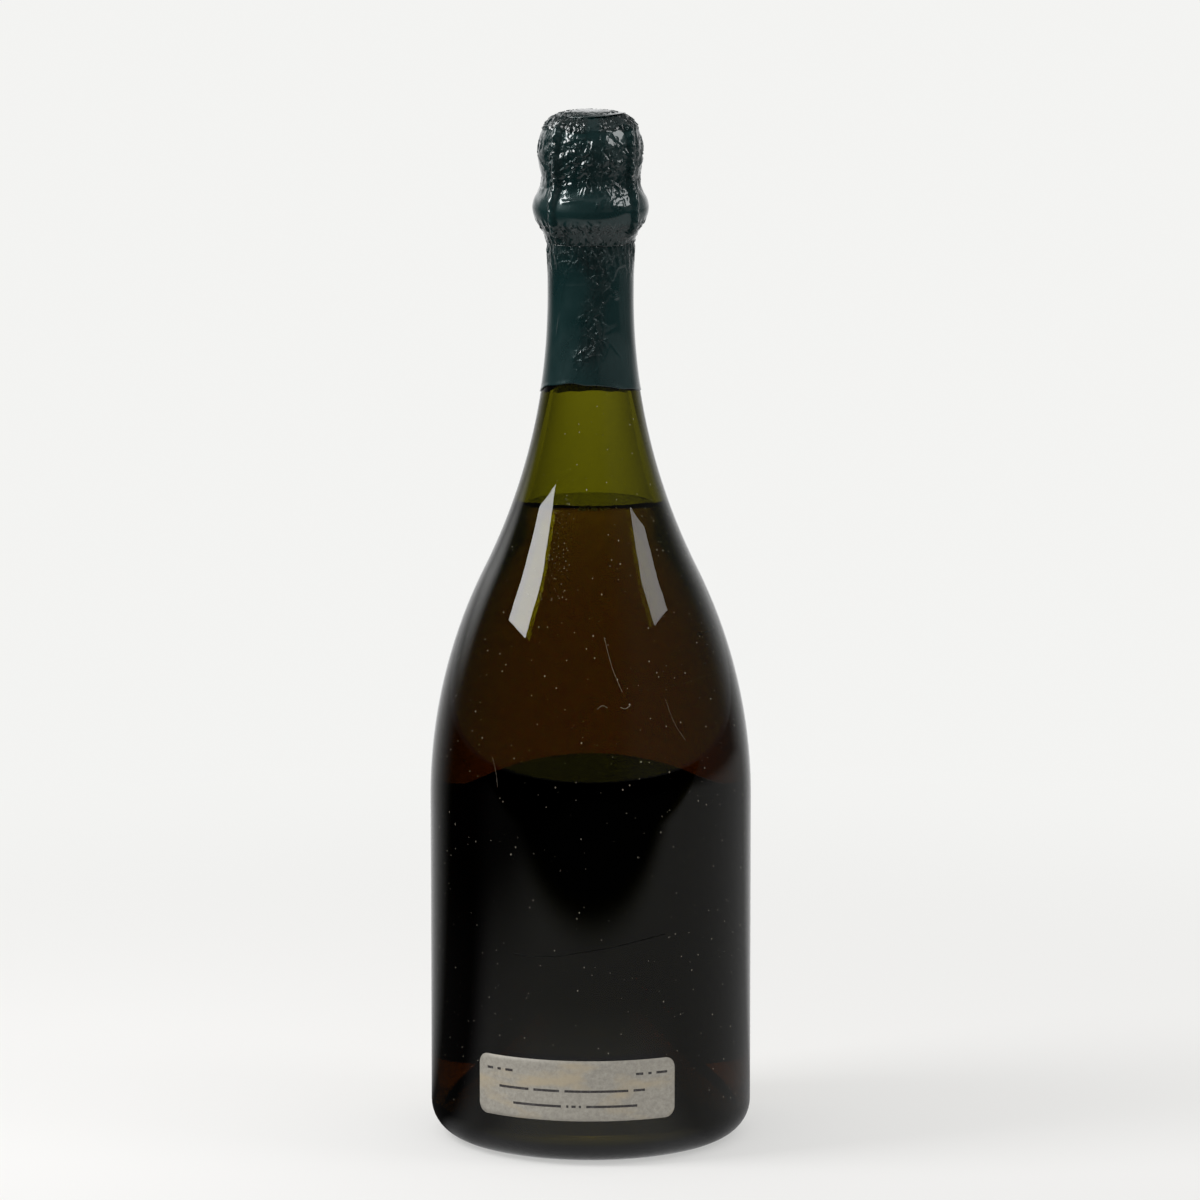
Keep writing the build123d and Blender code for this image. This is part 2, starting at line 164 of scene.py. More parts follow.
class FinishSettings(bpy.types.PropertyGroup):
    """Colours of the bottle."""

    glass: colour("Glass", "What the glass lets through", (0.643, 0.634, 0.0))
    wine: colour("Wine", "What the wine lets through", (0.665, 0.235, 0.0))
    foil: colour("Foil", "Lacquer of the foil", (0.0034, 0.024, 0.0245))
    paper: colour("Back label", "Paper of the back label", (0.40, 0.375, 0.325))
    ink: colour("Ink", "Ink of the back label", (0.035, 0.03, 0.03))
    front_paper: colour("Front label", "Paper of the front label", (0.62, 0.55, 0.40))
    front_ink: colour("Front ink", "Ink of the front label", (0.03, 0.07, 0.05))
    cork: colour("Cork", "Granules of the cork", (0.46, 0.26, 0.12))
    wire: colour("Wire", "Wire of the cage", (0.55, 0.54, 0.52))
    plaque: colour("Plaque", "Lacquer of the plaque", (0.50, 0.38, 0.16))


class StudioSettings(bpy.types.PropertyGroup):
    """Camera, lamps and backdrop."""

    distance: length("Distance", "From the camera to the bottle's axis", 1.95)
    camera_height: length("Camera height", "Height of the camera", 0.481)
    camera_side: length("Camera side", "How far the camera stands to the right", 2.65 * MM)
    pitch: bpy.props.FloatProperty(
        name="Pitch", description="How far the camera looks down", default=radians(9.49), subtype="ANGLE"
    )
    lens: bpy.props.FloatProperty(name="Lens", description="Focal length", default=207.63)
    backdrop: colour("Backdrop", "Backdrop and floor", (0.90, 0.90, 0.885))


class BottleSettings(bpy.types.PropertyGroup):
    """Everything that can be set on the bottle."""

    glass: bpy.props.PointerProperty(type=GlassSettings)
    foil: bpy.props.PointerProperty(type=FoilSettings)
    wire: bpy.props.PointerProperty(type=WireSettings)
    label: bpy.props.PointerProperty(type=LabelSettings)
    finish: bpy.props.PointerProperty(type=FinishSettings)
    studio: bpy.props.PointerProperty(type=StudioSettings)


def rounded_line(corners, steps=8):
    """Points of a line whose corners are rounded. A corner is radius, height and rounding."""
    points = []
    for index, (x, y, rounding) in enumerate(corners):
        here = Vector((x, y))
        if rounding == 0:
            points.append(here)
            continue
        before = (Vector(corners[index - 1][:2]) - here).normalized()
        after = (Vector(corners[index + 1][:2]) - here).normalized()
        half = before.angle(after) / 2
        centre = here + (before + after).normalized() * rounding / sin(half)
        reach = rounding * cos(half) / sin(half)
        start = here + before * reach - centre
        end = here + after * reach - centre
        turn = start.angle_signed(end)
        for step in range(steps + 1):
            angle = -turn * step / steps
            x_turned = start.x * cos(angle) - start.y * sin(angle)
            y_turned = start.x * sin(angle) + start.y * cos(angle)
            points.append(centre + Vector((x_turned, y_turned)))
    return [(p.x, p.y) for p in points]


def arc_line(centre, radius, first, last, steps):
    """Points of an arc about a centre, between two angles."""
    angles = [first + (last - first) * step / steps for step in range(steps + 1)]
    return [(centre[0] + radius * cos(a), centre[1] + radius * sin(a)) for a in angles]


def smooth_line(points, count):
    """Evenly spaced points of a smooth curve through a few points."""
    knots = np.array(points, float)
    padded = np.vstack([2 * knots[0] - knots[1], knots, 2 * knots[-1] - knots[-2]])
    places = np.linspace(0, len(knots) - 1, 24 * len(knots))
    spans = np.minimum(places.astype(int), len(knots) - 2)
    t = (places - spans)[:, None]
    a, b, c, d = (padded[spans + offset] for offset in range(4))
    curve = 0.5 * (2 * b + (c - a) * t + (2 * a - 5 * b + 4 * c - d) * t**2 + (3 * b - a - 3 * c + d) * t**3)
    run = np.concatenate([[0], np.cumsum(np.linalg.norm(np.diff(curve, axis=0), axis=1))])
    even = np.linspace(0, run[-1], count)
    return np.stack([np.interp(even, run, curve[:, axis]) for axis in range(curve.shape[1])], axis=1)


def turned_outwards(mesh):
    """The mesh, smooth-shaded and with its faces turned outwards."""
    shape = bmesh.new()
    shape.from_mesh(mesh)
    bmesh.ops.recalc_face_normals(shape, faces=shape.faces)
    shape.to_mesh(mesh)
    shape.free()
    mesh.shade_smooth()
    return mesh


def mesh_from(name, vertices, faces):
    """Smooth-shaded mesh of some vertices and faces."""
    mesh = bpy.data.meshes.new(name)
    mesh.from_pydata([tuple(v) for v in vertices], [], faces)
    return turned_outwards(mesh)


def round_angles(count):
    """Evenly spaced angles of one full round."""
    return np.arange(count) * 2 * pi / count


def around_axis(radius, angles, height):
    """Grid of points round the axis."""
    return np.stack(np.broadcast_arrays(radius * np.cos(angles), radius * np.sin(angles), height), axis=2)


def revolved(name, outline, segments=224):
    """Closed mesh of an outline in radius and height that starts and ends on the axis."""
    ring = np.array(outline[1:-1])
    vertices = around_axis(ring[:, :1], round_angles(segments), ring[:, 1:]).reshape(-1, 3).tolist()
    first = len(vertices)
    vertices += [(0, 0, outline[0][1]), (0, 0, outline[-1][1])]
    faces = []
    for row in range(len(ring) - 1):
        for column in range(segments):
            after = (column + 1) % segments
            low = row * segments
            high = low + segments
            faces.append((low + column, low + after, high + after, high + column))
    last_row = (len(ring) - 1) * segments
    for column in range(segments):
        after = (column + 1) % segments
        faces.append((first, after, column))
        faces.append((first + 1, last_row + column, last_row + after))
    return mesh_from(name, vertices, faces)


def wrapped(name, points, pole=False):
    """Mesh of a grid of points that closes round on itself, with its first row drawn to a pole if asked."""
    rows, columns, _ = points.shape
    vertices = points.reshape(-1, 3).tolist()
    faces = []
    for row in range(rows - 1):
        for column in range(columns):
            after = (column + 1) % columns
            low = row * columns
            high = low + columns
            faces.append((low + column, high + column, high + after, low + after))
    if pole:
        vertices.append(points[0].mean(axis=0).tolist())
        faces += [(len(vertices) - 1, column, (column + 1) % columns) for column in range(columns)]
    mesh = bpy.data.meshes.new(name)
    mesh.from_pydata(vertices, [], faces)
    mesh.shade_smooth()
    return mesh


def joined(name, meshes):
    """One smooth mesh made of several."""
    shape = bmesh.new()
    for mesh in meshes:
        shape.from_mesh(mesh)
    whole = bpy.data.meshes.new(name)
    shape.to_mesh(whole)
    shape.free()
    whole.shade_smooth()
    return whole


def mark(mesh, name, values):
    """Give each point of a mesh a value that its material reads."""
    attribute = mesh.attributes.new(name, "FLOAT", "POINT")
    attribute.data.foreach_set("value", values.astype(np.float32).reshape(-1))


def add_piece(mesh, body, material, nodes=()):
    """Show a finished mesh as a piece that rides on a body and stands for some of the frame's nodes."""
    piece = bpy.data.objects.new(mesh.name, mesh)
    bpy.context.scene.collection.objects.link(piece)
    mesh.materials.clear()
    mesh.materials.append(material)
    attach(piece, body)
    if nodes:
        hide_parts(*nodes)
    return piece


def dress(node, material):
    """Give a node of the frame its finish."""
    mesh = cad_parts[node].data
    mesh.materials.clear()
    mesh.materials.append(material)


def arc_turn(outer, inner, shoulder, neck):
    """Angle through which the shoulder's and the neck's arc both turn."""
    return acos(1 - (outer - inner) / (shoulder + neck))


def glass_heights(glass):
    """Height of the straight body's top, and of the ring's two ends."""
    ring_top = glass.mouth_height - glass.lip_height
    ring_bottom = ring_top - glass.ring_height
    turn = arc_turn(glass.body_radius, glass.neck_radius, glass.shoulder_arc, glass.neck_arc)
    neck_foot = ring_bottom - glass.neck_length
    return neck_foot - (glass.shoulder_arc + glass.neck_arc) * sin(turn), ring_bottom, ring_top


def shoulder_line(outer, inner, shoulder, neck, body_height, steps=40):
    """Points of the shoulder's arc and the neck's arc, from the body up."""
    turn = arc_turn(outer, inner, shoulder, neck)
    neck_end = body_height + (shoulder + neck) * sin(turn)
    below = arc_line((outer - shoulder, body_height), shoulder, 0, turn, steps)
    above = arc_line((inner + neck, neck_end), neck, pi + turn, pi, steps)
    return below + above[1:]


def outside_line(glass):
    """Points of the glass's outside from the body's top to the neck."""
    body_height = glass_heights(glass)[0]
    return shoulder_line(
        glass.body_radius, glass.neck_radius, glass.shoulder_arc, glass.neck_arc, body_height
    )


def cavity_line(glass, inset, top):
    """Half of the hollow in the glass from the punt up to a height, a distance inside its walls."""
    foot_radius = glass.body_radius - glass.foot_inset
    run = (foot_radius - glass.punt_crown) / glass.punt_height
    offset = (glass.punt_wall + inset) * (1 + run**2) ** 0.5
    punt_top = glass.punt_height + glass.punt_wall + inset
    floor = glass.base_thickness + inset
    wall = glass.body_radius - glass.body_wall - inset
    throat = glass.bore_radius - inset
    body_height = glass_heights(glass)[0]
    low = rounded_line(
        [
            (0, punt_top, 0),
            (foot_radius + offset - punt_top * run, punt_top, PUNT_ROUNDING),
            (foot_radius + offset - floor * run, floor, VALLEY_ROUNDING),
            (wall, floor, VALLEY_ROUNDING),
            (wall, body_height, 0),
        ]
    )
    shoulder = glass.shoulder_arc - glass.body_wall - inset
    neck = glass.neck_arc + glass.neck_wall + inset
    high = shoulder_line(wall, throat, shoulder, neck, body_height)
    line = low + high[1:] + [(throat, glass.mouth_height)]
    kept = [p for p in line if p[1] <= top or (p[0] < glass.punt_crown and p[1] < 2 * glass.punt_height)]
    radii = [p[0] for p in line[len(low):]]
    heights = [p[1] for p in line[len(low):]]
    return kept, float(np.interp(top, heights, radii))


def glass_line(glass):
    """Outline of the glass, from the punt round the outside and down the bore to the punt again."""
    body_height, ring_bottom, ring_top = glass_heights(glass)
    ring_radius = glass.neck_radius + glass.ring_step
    lip_radius = glass.neck_radius + glass.lip_step
    body = rounded_line(
        [
            (0, glass.punt_height, 0),
            (glass.punt_crown, glass.punt_height, PUNT_ROUNDING),
            (glass.body_radius - glass.foot_inset, 0, FOOT_ROUNDING),
            (glass.body_radius, 0, glass.heel_rounding),
            (glass.body_radius, body_height, 0),
        ],
        12,
    )
    mouth = rounded_line(
        [
            (glass.neck_radius, ring_bottom - glass.neck_length, 0),
            (glass.neck_radius, ring_bottom, CORNER_ROUNDING),
            (ring_radius, ring_bottom, RING_ROUNDING),
            (ring_radius, ring_top, RING_ROUNDING),
            (lip_radius, ring_top, CORNER_ROUNDING),
            (lip_radius, glass.mouth_height, LIP_ROUNDING),
            (glass.bore_radius, glass.mouth_height, MOUTH_ROUNDING),
            (glass.bore_radius, ring_bottom, 0),
        ],
        6,
    )
    cavity = cavity_line(glass, 0, ring_bottom)[0]
    return body + outside_line(glass)[1:] + mouth[1:] + cavity[::-1]


class Nodes:
    """Short way to add and link the nodes of one tree."""

    def __init__(self, tree):
        self.tree = tree

    def add(self, kind, inputs=(), **settings):
        """Add a node, set it up and fill its inputs by name or number."""
        node = self.tree.nodes.new(kind)
        for key, value in settings.items():
            setattr(node, key, value)
        for key, value in dict(inputs).items():
            self.give(node.inputs[key], value)
        return node

    def give(self, socket, value):
        """Link an output to a socket, or set the socket's own value."""
        if isinstance(value, bpy.types.NodeSocket):
            self.tree.links.new(value, socket)
        else:
            socket.default_value = value

    def math(self, operation, first, second=0.5, clamp=False):
        """Result of a sum on two numbers or outputs."""
        node = self.add("ShaderNodeMath", {0: first, 1: second}, operation=operation, use_clamp=clamp)
        return node.outputs[0]

    def times(self, first, *others):
        """Product of numbers or outputs, taken from left to right."""
        for other in others:
            first = self.math("MULTIPLY", first, other)
        return first

    def noise(self, place, scale, **more):
        """Strength of a noise texture."""
        return self.add("ShaderNodeTexNoise", {"Vector": place, "Scale": scale, **more}).outputs["Fac"]

    def cells(self, place, scale, feature="DISTANCE_TO_EDGE", **more):
        """Outputs of a cell texture."""
        inputs = {"Vector": place, "Scale": scale, **more}
        return self.add("ShaderNodeTexVoronoi", inputs, feature=feature).outputs

    def ramp(self, factor, stops):
        """Colour ramp with its stops given as position and grey or colour."""
        node = self.add("ShaderNodeValToRGB", {"Fac": factor})
        line = node.color_ramp
        for index, (position, shade) in enumerate(stops):
            stop = line.elements[index] if index < 2 else line.elements.new(position)
            stop.position = position
            stop.color = (*shade, 1) if isinstance(shade, tuple) else (shade, shade, shade, 1)
        return node.outputs["Color"]

    def mix(self, factor, first, second, blend="MIX"):
        """Mix of two colours."""
        node = self.add("ShaderNodeMix", data_type="RGBA", blend_type=blend)
        self.give(node.inputs["Factor"], factor)
        for socket, value in ((node.inputs[6], first), (node.inputs[7], second)):
            self.give(socket, (*value, 1) if isinstance(value, tuple) else value)
        return node.outputs[2]


def new_material(name, **sockets):
    """Material with its shader's sockets set by name. Returns the material, its nodes and the shader."""
    material = bpy.data.materials.new(name)
    material.use_nodes = True
    nodes = Nodes(material.node_tree)
    shader = material.node_tree.nodes["Principled BSDF"]
    for key, value in sockets.items():
        title = key.replace("_", " ").title().replace("Ior", "IOR")
        shader.inputs[title].default_value = (*value, 1) if isinstance(value, tuple) else value
    return material, nodes, shader


def toned(tint, factor):
    """A colour made darker or lighter."""
    return tuple(min(factor * channel, 1.0) for channel in tint)


def object_place(nodes, scale=(1, 1, 1)):
    """Object coordinates, scaled."""
    coordinates = nodes.add("ShaderNodeTexCoord").outputs["Object"]
    return nodes.add("ShaderNodeMapping", {"Vector": coordinates, "Scale": scale}).outputs["Vector"]


def bump(nodes, shader, height, distance, strength=1.0):
    """Bump the shader by a height."""
    node = nodes.add("ShaderNodeBump", {"Height": height, "Distance": distance, "Strength": strength})
    nodes.give(shader.inputs["Normal"], node.outputs["Normal"])


def clear_material(name, tint, density, ior, ripple=0.0):
    """Clear material whose colour comes from its depth, with a slightly uneven surface if asked."""
    material, nodes, shader = new_material(
        name, base_color=(1.0, 1.0, 1.0), roughness=0.0, ior=ior, transmission_weight=1.0
    )
    absorption = nodes.add("ShaderNodeVolumeAbsorption", {"Color": (*tint, 1), "Density": density})
    output = material.node_tree.nodes["Material Output"]
    nodes.give(output.inputs["Volume"], absorption.outputs["Volume"])
    if ripple:
        bump(nodes, shader, nodes.noise(object_place(nodes, (1, 1, 0.35)), 26.0), ripple)
    return material


def foil_material(tint):
    """Lacquered aluminium foil: dark and glossy, crisply creased, and painted darker as shade where the
    attribute crumple is high.
    """
    material, nodes, shader = new_material(
        "foil lacquer", roughness=0.3, metallic=0.35, coat_weight=1.0, coat_roughness=0.05, coat_ior=1.75
    )
    place = object_place(nodes)
    crumple = nodes.add("ShaderNodeAttribute", attribute_name="crumple").outputs["Fac"]
    warp = nodes.add("ShaderNodeTexNoise", {"Vector": place, "Scale": 240.0, "Detail": 4.0}).outputs["Color"]
    bent = nodes.add("ShaderNodeVectorMath", {0: warp, "Scale": 3 * MM}, operation="SCALE").outputs[0]
    shifted = nodes.add("ShaderNodeVectorMath", {0: place, 1: bent}, operation="ADD").outputs[0]
    facets = nodes.cells(shifted, 520.0, "F1")["Distance"]
    lines = nodes.ramp(nodes.cells(shifted, 300.0)["Distance"], [(0.0, 1.0), (0.12, 0.0)])
    height = nodes.math("ADD", nodes.times(facets, 0.7), lines)
    height = nodes.times(height, nodes.times(crumple, 0.75))
    scratches = nodes.cells(object_place(nodes, (1, 1, 0.3)), 160.0)["Distance"]
    hairlines = nodes.ramp(scratches, [(0.0, 1.0), (0.018, 0.0)])
    height = nodes.math("ADD", height, nodes.times(hairlines, 0.06))
    slack = nodes.noise(object_place(nodes, (1, 1, 0.25)), 170.0)
    height = nodes.math("ADD", height, nodes.times(slack, 0.35))
    bump(nodes, shader, height, 0.5 * MM, 0.8)
    patches = nodes.noise(place, 90.0, Detail=6.0)
    shade = nodes.mix(patches, toned(tint, 0.7), toned(tint, 1.5))
    # Painted shade: the colour darkens where the foil is crumpled, standing in for the shade in its creases.
    shade = nodes.mix(nodes.math("MULTIPLY", crumple, 0.6, True), shade, toned(tint, 0.3))
    worn = nodes.ramp(patches, [(0.70, 0.0), (0.75, 1.0)])
    rubbed = nodes.times(worn, lines, 0.3)
    nodes.give(shader.inputs["Base Color"], nodes.mix(rubbed, shade, (0.40, 0.44, 0.44)))
    nodes.give(shader.inputs["Roughness"], nodes.ramp(patches, [(0.3, 0.22), (0.7, 0.4)]))
    return material


def paper_material(name, tint, worn, fibre=900.0):
    """Printed paper with a metallic shimmer, fine fibres and yellowed patches, painted almost black on its
    glued side as shade.
    """
    material, nodes, shader = new_material(name, roughness=0.5, metallic=0.15)
    fibres = nodes.noise(object_place(nodes), fibre, Detail=8.0, Roughness=0.7)
    blots = nodes.noise(object_place(nodes, (1, 1, 2.6)), 62.0, Detail=5.0)
    shade = nodes.mix(nodes.ramp(fibres, [(0.35, 0.0), (0.65, 1.0)]), toned(tint, 0.72), tint)
    shade = nodes.mix(nodes.ramp(blots, [(0.52, 0.0), (0.66, 0.75)]), shade, worn)
    # Painted shade: the side glued to the glass is painted almost black, standing in for the shade behind the
    # label.
    back_painted_shade = nodes.add("ShaderNodeAttribute", attribute_name="back_painted_shade").outputs["Fac"]
    nodes.give(shader.inputs["Base Color"], nodes.mix(back_painted_shade, shade, (0.012, 0.011, 0.008)))
    bump(nodes, shader, fibres, 0.06 * MM, 0.6)
    return material


def ink_material(name, tint, thin=0.06, gloss=0.5):
    """Ink, or the dark line on the glass, lighter where it is thin."""
    material, nodes, shader = new_material(name, roughness=0.4, specular_ior_level=gloss)
    grain = nodes.noise(object_place(nodes), 1400.0, Detail=4.0)
    light = tuple(channel + thin for channel in tint)
    shade = nodes.mix(nodes.ramp(grain, [(0.5, 0.0), (0.72, 1.0)]), tint, light)
    nodes.give(shader.inputs["Base Color"], shade)
    return material


def pressed_cork_material(tint):
    """Cork granules pressed together, with dark pits between them."""
    material, nodes, shader = new_material("pressed cork", roughness=0.85)
    place = object_place(nodes)
    grains = nodes.cells(place, 420.0, "F1", Randomness=0.95)["Color"]
    tone = nodes.add("ShaderNodeSeparateColor", {"Color": grains}).outputs[0]
    edges = nodes.cells(place, 420.0, Randomness=0.95)["Distance"]
    fine = nodes.noise(place, 1500.0, Detail=6.0)
    shade = nodes.mix(tone, toned(tint, 0.5), toned(tint, 1.45))
    shade = nodes.mix(1.0, shade, nodes.ramp(edges, [(0.0, 0.25), (0.09, 1.0)]), "MULTIPLY")
    shade = nodes.mix(1.0, shade, nodes.ramp(fine, [(0.3, 0.7), (0.7, 1.0)]), "MULTIPLY")
    nodes.give(shader.inputs["Base Color"], shade)
    bump(nodes, shader, nodes.math("ADD", edges, nodes.times(fine, 0.3)), 0.4 * MM, 0.7)
    return material


def natural_cork_material(tint):
    """Solid cork with growth rings and dark lenticels."""
    material, nodes, shader = new_material("natural cork", roughness=0.8)
    place = object_place(nodes, (1, 0.35, 1))
    wave = {"Vector": place, "Scale": 140.0, "Distortion": 5.0, "Detail": 3.0}
    rings = nodes.add("ShaderNodeTexWave", wave).outputs["Fac"]
    grain = nodes.noise(place, 520.0, Detail=6.0)
    pores = nodes.ramp(grain, [(0.60, 0.0), (0.68, 1.0)])
    shade = nodes.mix(rings, tint, toned(tint, 1.5))
    nodes.give(shader.inputs["Base Color"], nodes.mix(pores, shade, (0.09, 0.035, 0.012)))
    bump(nodes, shader, nodes.math("SUBTRACT", grain, pores), 0.3 * MM, 0.6)
    return material


def wire_material(tint):
    """Galvanised steel wire with dull spots."""
    material, nodes, shader = new_material("galvanised wire", metallic=1.0, roughness=0.35)
    bloom = nodes.noise(object_place(nodes), 600.0, Detail=6.0)
    nodes.give(shader.inputs["Base Color"], nodes.mix(bloom, toned(tint, 0.6), tint))
    nodes.give(shader.inputs["Roughness"], nodes.ramp(bloom, [(0.35, 0.26), (0.7, 0.55)]))
    bump(nodes, shader, bloom, 0.08 * MM, 0.5)
    return material


def plaque_material(tint):
    """Lacquered tin plate, pressed with plain rings and rubbed bare in places."""
    material, nodes, shader = new_material("plaque lacquer", metallic=0.85, roughness=0.3, coat_weight=0.4)
    place = object_place(nodes)
    x, y, _ = nodes.add("ShaderNodeSeparateXYZ", {"Vector": place}).outputs
    across = nodes.math("SQRT", nodes.math("ADD", nodes.times(x, x), nodes.times(y, y)))
    radius = nodes.times(across, 1 / MM)
    wave = nodes.math("SINE", nodes.times(radius, 2.6))
    band = nodes.ramp(nodes.times(radius, 0.1), [(0.52, 0.0), (0.54, 1.0), (0.68, 1.0), (0.70, 0.0)])
    bare = nodes.ramp(nodes.noise(place, 350.0, Detail=7.0), [(0.60, 0.0), (0.66, 1.0)])
    shade = nodes.mix(band, tint, (0.05, 0.11, 0.09))
    nodes.give(shader.inputs["Base Color"], nodes.mix(bare, shade, (0.62, 0.6, 0.56)))
    bump(nodes, shader, wave, 0.1 * MM, 0.6)
    return material


def new_tree(name, inputs, result):
    """Geometry Nodes tree with named inputs and one named output of geometry. Returns it and its nodes."""
    tree = bpy.data.node_groups.new(name, "GeometryNodeTree")
    for title, kind in inputs.items():
        tree.interface.new_socket(title, in_out="INPUT", socket_type="NodeSocket" + kind)
    tree.interface.new_socket(result, in_out="OUTPUT", socket_type="NodeSocketGeometry")
    return tree, Nodes(tree)


def wire_tree():
    """Geometry Nodes tree that twists round strands along a path."""
    inputs = {
        "Path": "Geometry",
        "Strand Radius": "Float",
        "Turns": "Float",
        "Strands": "Int",
        "Steps": "Int",
        "Material": "Material",
    }
    tree, nodes = new_tree("twisted wire", inputs, "Wire")
    given = nodes.add("NodeGroupInput").outputs
    path = nodes.add("GeometryNodeResampleCurve", {"Curve": given["Path"], "Count": given["Steps"]})
    along = nodes.add("GeometryNodeSplineParameter").outputs["Factor"]
    turn = nodes.times(along, given["Turns"], 2 * pi)
    twisted = nodes.add("GeometryNodeSetCurveTilt", {"Curve": path.outputs[0], "Tilt": turn})
    others = nodes.math("SUBTRACT", given["Strands"], 1.0, True)
    reach = nodes.times(others, given["Strand Radius"])
    index = nodes.add("GeometryNodeInputIndex").outputs[0]
    angle = nodes.math("DIVIDE", nodes.times(index, 2 * pi), given["Strands"])
    across = nodes.times(nodes.math("COSINE", angle), reach)
    aside = nodes.times(nodes.math("SINE", angle), reach)
    place = nodes.add("ShaderNodeCombineXYZ", {0: across, 1: aside}).outputs[0]
    centres = nodes.add("GeometryNodePoints", {"Count": given["Strands"], "Position": place})
    circle = {"Resolution": 10, "Radius": given["Strand Radius"]}
    round_wire = nodes.add("GeometryNodeCurvePrimitiveCircle", circle)
    strands = nodes.add(
        "GeometryNodeInstanceOnPoints", {"Points": centres.outputs[0], "Instance": round_wire.outputs[0]}
    )
    section = nodes.add("GeometryNodeRealizeInstances", {"Geometry": strands.outputs[0]})
    swept = nodes.add(
        "GeometryNodeCurveToMesh",
        {"Curve": twisted.outputs[0], "Profile Curve": section.outputs[0], "Fill Caps": True},
    )
    whole = nodes.add("GeometryNodeRealizeInstances", {"Geometry": swept.outputs[0]}).outputs[0]
    painted = nodes.add("GeometryNodeSetMaterial", {"Geometry": whole, "Material": given["Material"]})
    nodes.add("NodeGroupOutput", {"Wire": painted.outputs[0]})
    return tree


def speck_tree():
    """Geometry Nodes tree that scatters small flat specks over a surface."""
    inputs = {
        "Surface": "Geometry",
        "Density": "Float",
        "Smallest": "Float",
        "Largest": "Float",
        "Seed": "Int",
        "Material": "Material",
    }
    tree, nodes = new_tree("dust specks", inputs, "Specks")
    given = nodes.add("NodeGroupInput").outputs
    points = nodes.add(
        "GeometryNodeDistributePointsOnFaces",
        {"Mesh": given["Surface"], "Density": given["Density"], "Seed": given["Seed"]},
    )
    grain = nodes.add("GeometryNodeMeshIcoSphere", {"Radius": 1.0, "Subdivisions": 1})
    chances = []
    for low, high in ((given["Smallest"], given["Largest"]), (0.5, 2.2)):
        drawn = nodes.add("FunctionNodeRandomValue", {"Seed": given["Seed"]}, data_type="FLOAT")
        nodes.give(drawn.inputs[2], low)
        nodes.give(drawn.inputs[3], high)
        chances.append(drawn.outputs[1])
    size, long_way = chances
    stretch = nodes.add("ShaderNodeCombineXYZ", {0: 1.0, 1: long_way, 2: 0.25}).outputs[0]
    scale = nodes.add("ShaderNodeVectorMath", {0: stretch, "Scale": size}, operation="SCALE")
    spread = nodes.add(
        "GeometryNodeInstanceOnPoints",
        {
            "Points": points.outputs["Points"],
            "Instance": grain.outputs["Mesh"],
            "Rotation": points.outputs["Rotation"],
            "Scale": scale.outputs[0],
        },
    )
    whole = nodes.add("GeometryNodeRealizeInstances", {"Geometry": spread.outputs[0]}).outputs[0]
    painted = nodes.add("GeometryNodeSetMaterial", {"Geometry": whole, "Material": given["Material"]})
    nodes.add("NodeGroupOutput", {"Specks": painted.outputs[0]})
    return tree


def evaluated(source, tree, settings, name):
    """Plain mesh that a tree makes of an object's data. The source object is removed."""
    holder = bpy.data.objects.new(name + " source", source)
    bpy.context.scene.collection.objects.link(holder)
    modifier = holder.modifiers.new("tree", "NODES")
    modifier.node_group = tree
    sockets = {item.name: item.identifier for item in tree.interface.items_tree if item.in_out == "INPUT"}
    for title, value in settings.items():
        modifier[sockets[title]] = value
    bpy.context.view_layer.update()
    made = holder.evaluated_get(bpy.context.evaluated_depsgraph_get())
    mesh = bpy.data.meshes.new_from_object(made)
    mesh.name = name
    bpy.data.objects.remove(holder)
    if not mesh.polygons:
        raise RuntimeError(f"{name} has no faces")
    return turned_outwards(mesh)


def path_curve(name, points, closed=False):
    """Curve of straight runs through points."""
    curve = bpy.data.curves.new(name, "CURVE")
    curve.dimensions = "3D"
    spline = curve.splines.new("POLY")
    spline.points.add(len(points) - 1)
    for point, place in zip(spline.points, points):
        point.co = (*place, 1)
    spline.use_cyclic_u = closed
    return curve


def run_length(points):
    """Length of a line of points."""
    return sum((Vector(b) - Vector(a)).length for a, b in zip(points, points[1:]))


def strand_mesh(name, points, tree, material, radius, steps, turns=0.0, strands=1, closed=False):
    """Mesh of a wire along points, of one strand or of several twisted ones."""
    settings = {
        "Strand Radius": radius,
        "Turns": turns,
        "Strands": strands,
        "Steps": steps,
        "Material": material,
    }
    return evaluated(path_curve("wire path", points, closed), tree, settings, name)


class BOTTLE_OT_glass(bpy.types.Operator):
    """Build the glass bottle with its punt, ring and lip"""

    bl_idname = "bottle.glass"
    bl_label = "Glass Bottle"

    def execute(self, context):
        settings = context.scene.bottle
        mesh = revolved("glass", glass_line(settings.glass))
        material = clear_material(
            "green glass", tuple(settings.finish.glass), density=850.0, ior=1.5, ripple=0.12 * MM
        )
        add_piece(mesh, "bottle", material, ["glass_bottle"])
        return {"FINISHED"}


def wine_line(glass):
    """Outline of the wine, with a meniscus that climbs the wall."""
    line, wall = cavity_line(glass, -glass.wine_overlap, glass.fill_height)
    wall_slope = 0.36
    crest = glass.fill_height + glass.meniscus
    start = wall - wall_slope * glass.meniscus
    climb = [(start, crest), (start - 0.02 * MM, crest)]
    for reach in (0.25, 0.5, 0.8, 1.2, 1.7, 2.3, 3.0, 4.0, 5.5):
        rise = glass.meniscus * exp(-reach / 1.8) * (1 - reach / 5.5)
        climb.append((start - reach * MM, glass.fill_height + rise))
    return line + climb + [(0, glass.fill_height)]


